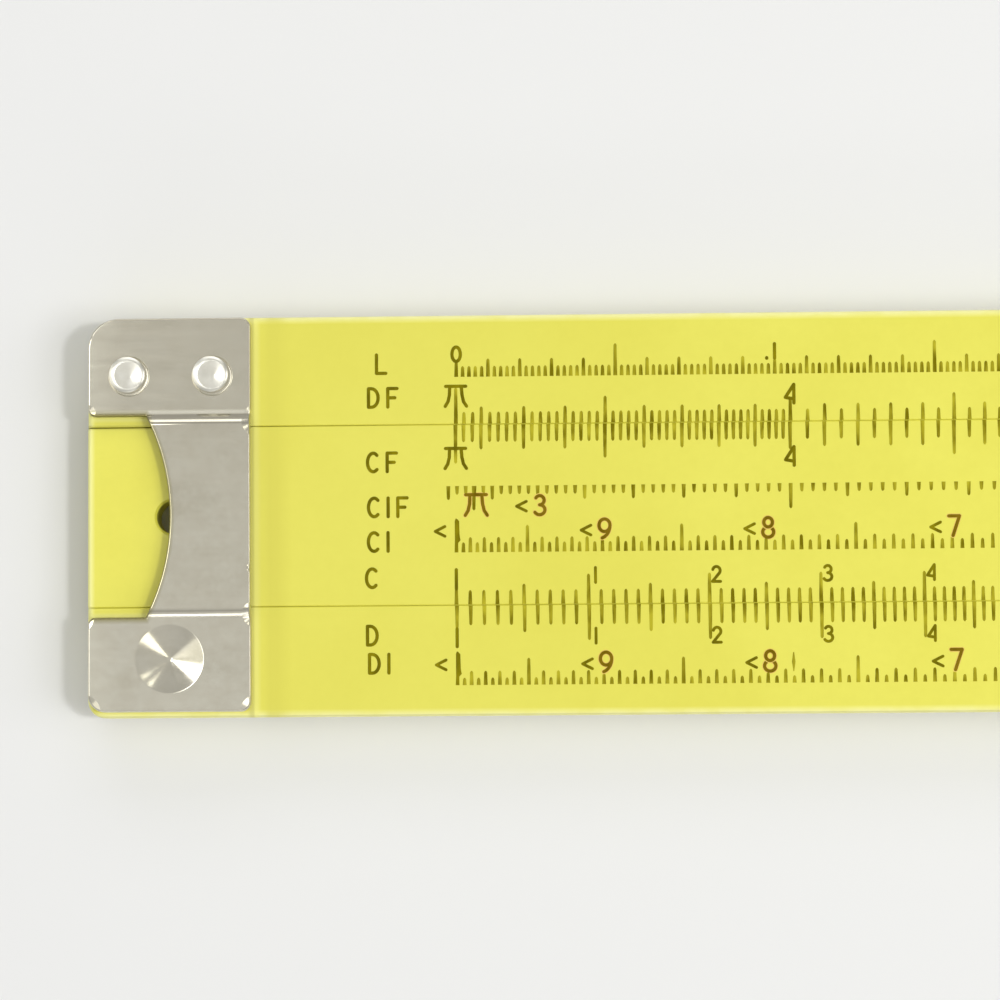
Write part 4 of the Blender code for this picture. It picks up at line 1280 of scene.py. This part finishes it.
def add_print(name, marks, finish, body, face):
    """A piece from a print, laid on the front or the back face of the rule."""
    mesh = bpy.data.meshes.new(name)
    mesh.from_pydata(marks.verts, [], marks.faces)
    height = FRONT_FACE if face == "front" else BACK_FACE
    tilt = 0 if face == "front" else math.pi
    mesh.transform(Matrix.Translation((-SCALE_LENGTH / 2, 0, height)) @ Matrix.Rotation(tilt, 4, "X"))
    mesh.update()
    add_piece(name, mesh, finish, body, smooth=False)


def add_scales(finishes):
    """All the printed scales, each as its ticks and its figures."""
    names = set()
    for face, scales in SCALES.items():
        for (letters, kind_name), (row_name, row) in zip(scales, ROWS.items()):
            kind = KINDS[kind_name]
            name = f"{letters.lower()}_scale"
            if name in names:
                name = f"{face}_{name}"
            names.add(name)
            body = "slide" if row_name.startswith("slide") else "frame"
            ticks = Print(INK_RISE)
            plain = Print(FIGURE_RISE)
            figures = [Print(FIGURE_RISE), Print(HALO_RISE, HALO_SPREAD)] if kind.inverse else [plain]
            print_ticks(kind, row, GAUGES.get(name, ()), ticks)
            print_figures(kind, row, letters, figures, plain)
            pieces = [("ticks", ticks, "tick_ink"), ("figures", plain, "figure_ink")]
            if kind.inverse:
                pieces += [("red_figures", figures[0], "inverse_ink"), ("red_halo", figures[1], "halo_ink")]
            for part, marks, ink in pieces:
                add_print(f"{name}_{part}", marks, finishes[ink], body, face)


# The stage

def add_floor():
    """A plain pale floor under the rule."""
    material, tree, shader = new_material("floor", Roughness=0.8)
    place = object_coordinates(tree)
    tone = mixed(tree, noise(tree, place, 3, 3), (0.80, 0.80, 0.79, 1), (0.83, 0.83, 0.82, 1))
    tree.links.new(tone, shader.inputs["Base Color"])
    bm = bmesh.new()
    bmesh.ops.create_grid(bm, x_segments=8, y_segments=8, size=4)
    floor = bpy.data.objects.new("floor", mesh_from(bm))
    floor.data.materials.append(material)
    bpy.context.scene.collection.objects.link(floor)


def add_lamp(name, place, size, radiance, colour=(1, 1, 1), diffuse=True, glossy=True):
    """A soft lamp of the given width and height that points at the rule's left end, evenly bright."""
    data = bpy.data.lights.new(name, "AREA")
    data.shape = "RECTANGLE"
    data.size, data.size_y = size
    data.energy = radiance * math.pi * data.size * data.size_y
    data.color = colour
    lamp = bpy.data.objects.new(name, data)
    lamp.location = place
    lamp.rotation_euler = (Vector(place) - Vector(LAMP_AIM)).to_track_quat("Z", "Y").to_euler()
    lamp.visible_camera = False
    lamp.visible_diffuse = diffuse
    lamp.visible_glossy = glossy
    bpy.context.scene.collection.objects.link(lamp)


def from_dimple(azimuth, off_zenith, distance):
    """A place in a direction from the front left bracket's dimple, with both angles in degrees."""
    around = math.radians(azimuth)
    lean = math.radians(off_zenith)
    way = Vector((math.sin(lean) * math.cos(around), math.sin(lean) * math.sin(around), math.cos(lean)))
    return Vector((BRACKET_X, -FASTENER_Y, FRONT_FACE)) + way * distance


def add_lights():
    """A pale world, brighter overhead, with soft lamps on all sides."""
    world = bpy.data.worlds.new("world")
    bpy.context.scene.world = world
    world.use_nodes = True
    tree = world.node_tree
    background = tree.nodes["Background"]
    direction = tree.nodes.new("ShaderNodeTexCoord").outputs["Generated"]
    axes = axes_of(tree, direction)
    inputs = {0: direction, 1: (0, -0.05, 0.9987)}
    height = add_node(tree, "ShaderNodeVectorMath", inputs, operation="DOT_PRODUCT").outputs["Value"]
    overhead = span(tree, height, 0.75, 1.0, 0, 0.26)
    strength = maths(tree, "ADD", span(tree, height, 0.1, 0.5, 0.30, 0.50), overhead)
    wall = span(tree, axes["Y"], -0.9, -0.75, 0.28, 0)
    back = span(tree, axes["Y"], 0.75, 0.9, 0, 0.22)
    strength = maths(tree, "ADD", strength, maths(tree, "ADD", wall, back))
    tree.links.new(strength, background.inputs["Strength"])
    background.inputs["Color"].default_value = (1.0, 1.0, 0.99, 1)
    cream = (1, 0.98, 0.86)
    add_lamp("main", (0.81, -0.10, 1.86), (0.17, 0.17), 108, glossy=False)
    add_lamp("fill", (0.48, -0.18, 0.84), (0.36, 0.36), 5, glossy=False)
    add_lamp("side", (0.75, -0.02, 0.62), (0.5, 0.5), 1.6)
    add_lamp("rear", from_dimple(90, 58, 1.1), (1.0, 0.4), 1.45)
    add_lamp("front", from_dimple(270, 72, 1.1), (1.0, 0.12), 2.2)
    for name, azimuth, off_zenith, size, radiance, colour in (
            ("key", 156, 33, (0.146, 0.28), 2.3, (1, 1, 1)),
            ("warm", -52, 29, (0.10, 0.20), 1.7, cream),
            ("small", 46, 28, (0.045, 0.05), 2.0, cream),
            ("smaller", 66, 30, (0.045, 0.05), 2.0, cream),
            ("soft", 195, 29, (0.14, 0.12), 0.5, (1, 1, 1)),
            ("near", 158, 21, (0.30, 0.11), 2.3, (1, 1, 1)),
            ("left", 180, 48, (0.4, 0.3), 0.6, cream),
            ("right", 0, 58, (0.4, 0.2), 1.2, cream)):
        add_lamp(name, from_dimple(azimuth, off_zenith, 0.55), size, radiance, colour, diffuse=False)


def add_camera():
    """The camera at the photograph's place and angle."""
    data = bpy.data.cameras.new("camera")
    data.lens = CAMERA_LENS
    data.sensor_width = CAMERA_SENSOR
    data.clip_start = 0.01
    camera = bpy.data.objects.new("camera", data)
    turn = Matrix.Rotation(CAMERA_TURN.length, 4, CAMERA_TURN)
    camera.matrix_world = Matrix.Translation(CAMERA_PLACE) @ turn
    bpy.context.scene.collection.objects.link(camera)
    bpy.context.scene.camera = camera


def main():
    """Builds every piece, the stage, the lights and the camera."""
    finishes = make_materials()
    add_stators(finishes["yellow_enamel"])
    add_slide(finishes["yellow_enamel"])
    add_brackets(finishes["satin_aluminium"])
    add_rivets(finishes["rivet_aluminium"])
    add_windows(finishes["clear_acrylic"])
    add_runners(finishes["runner_aluminium"])
    add_spring(finishes["spring_bronze"])
    add_screws(finishes["screw_steel"])
    add_hairlines(finishes["figure_ink"])
    add_scales(finishes)
    add_floor()
    add_lights()
    add_camera()
    bpy.context.scene.view_settings.view_transform = "Standard"
    bpy.context.view_layer.update()


main()
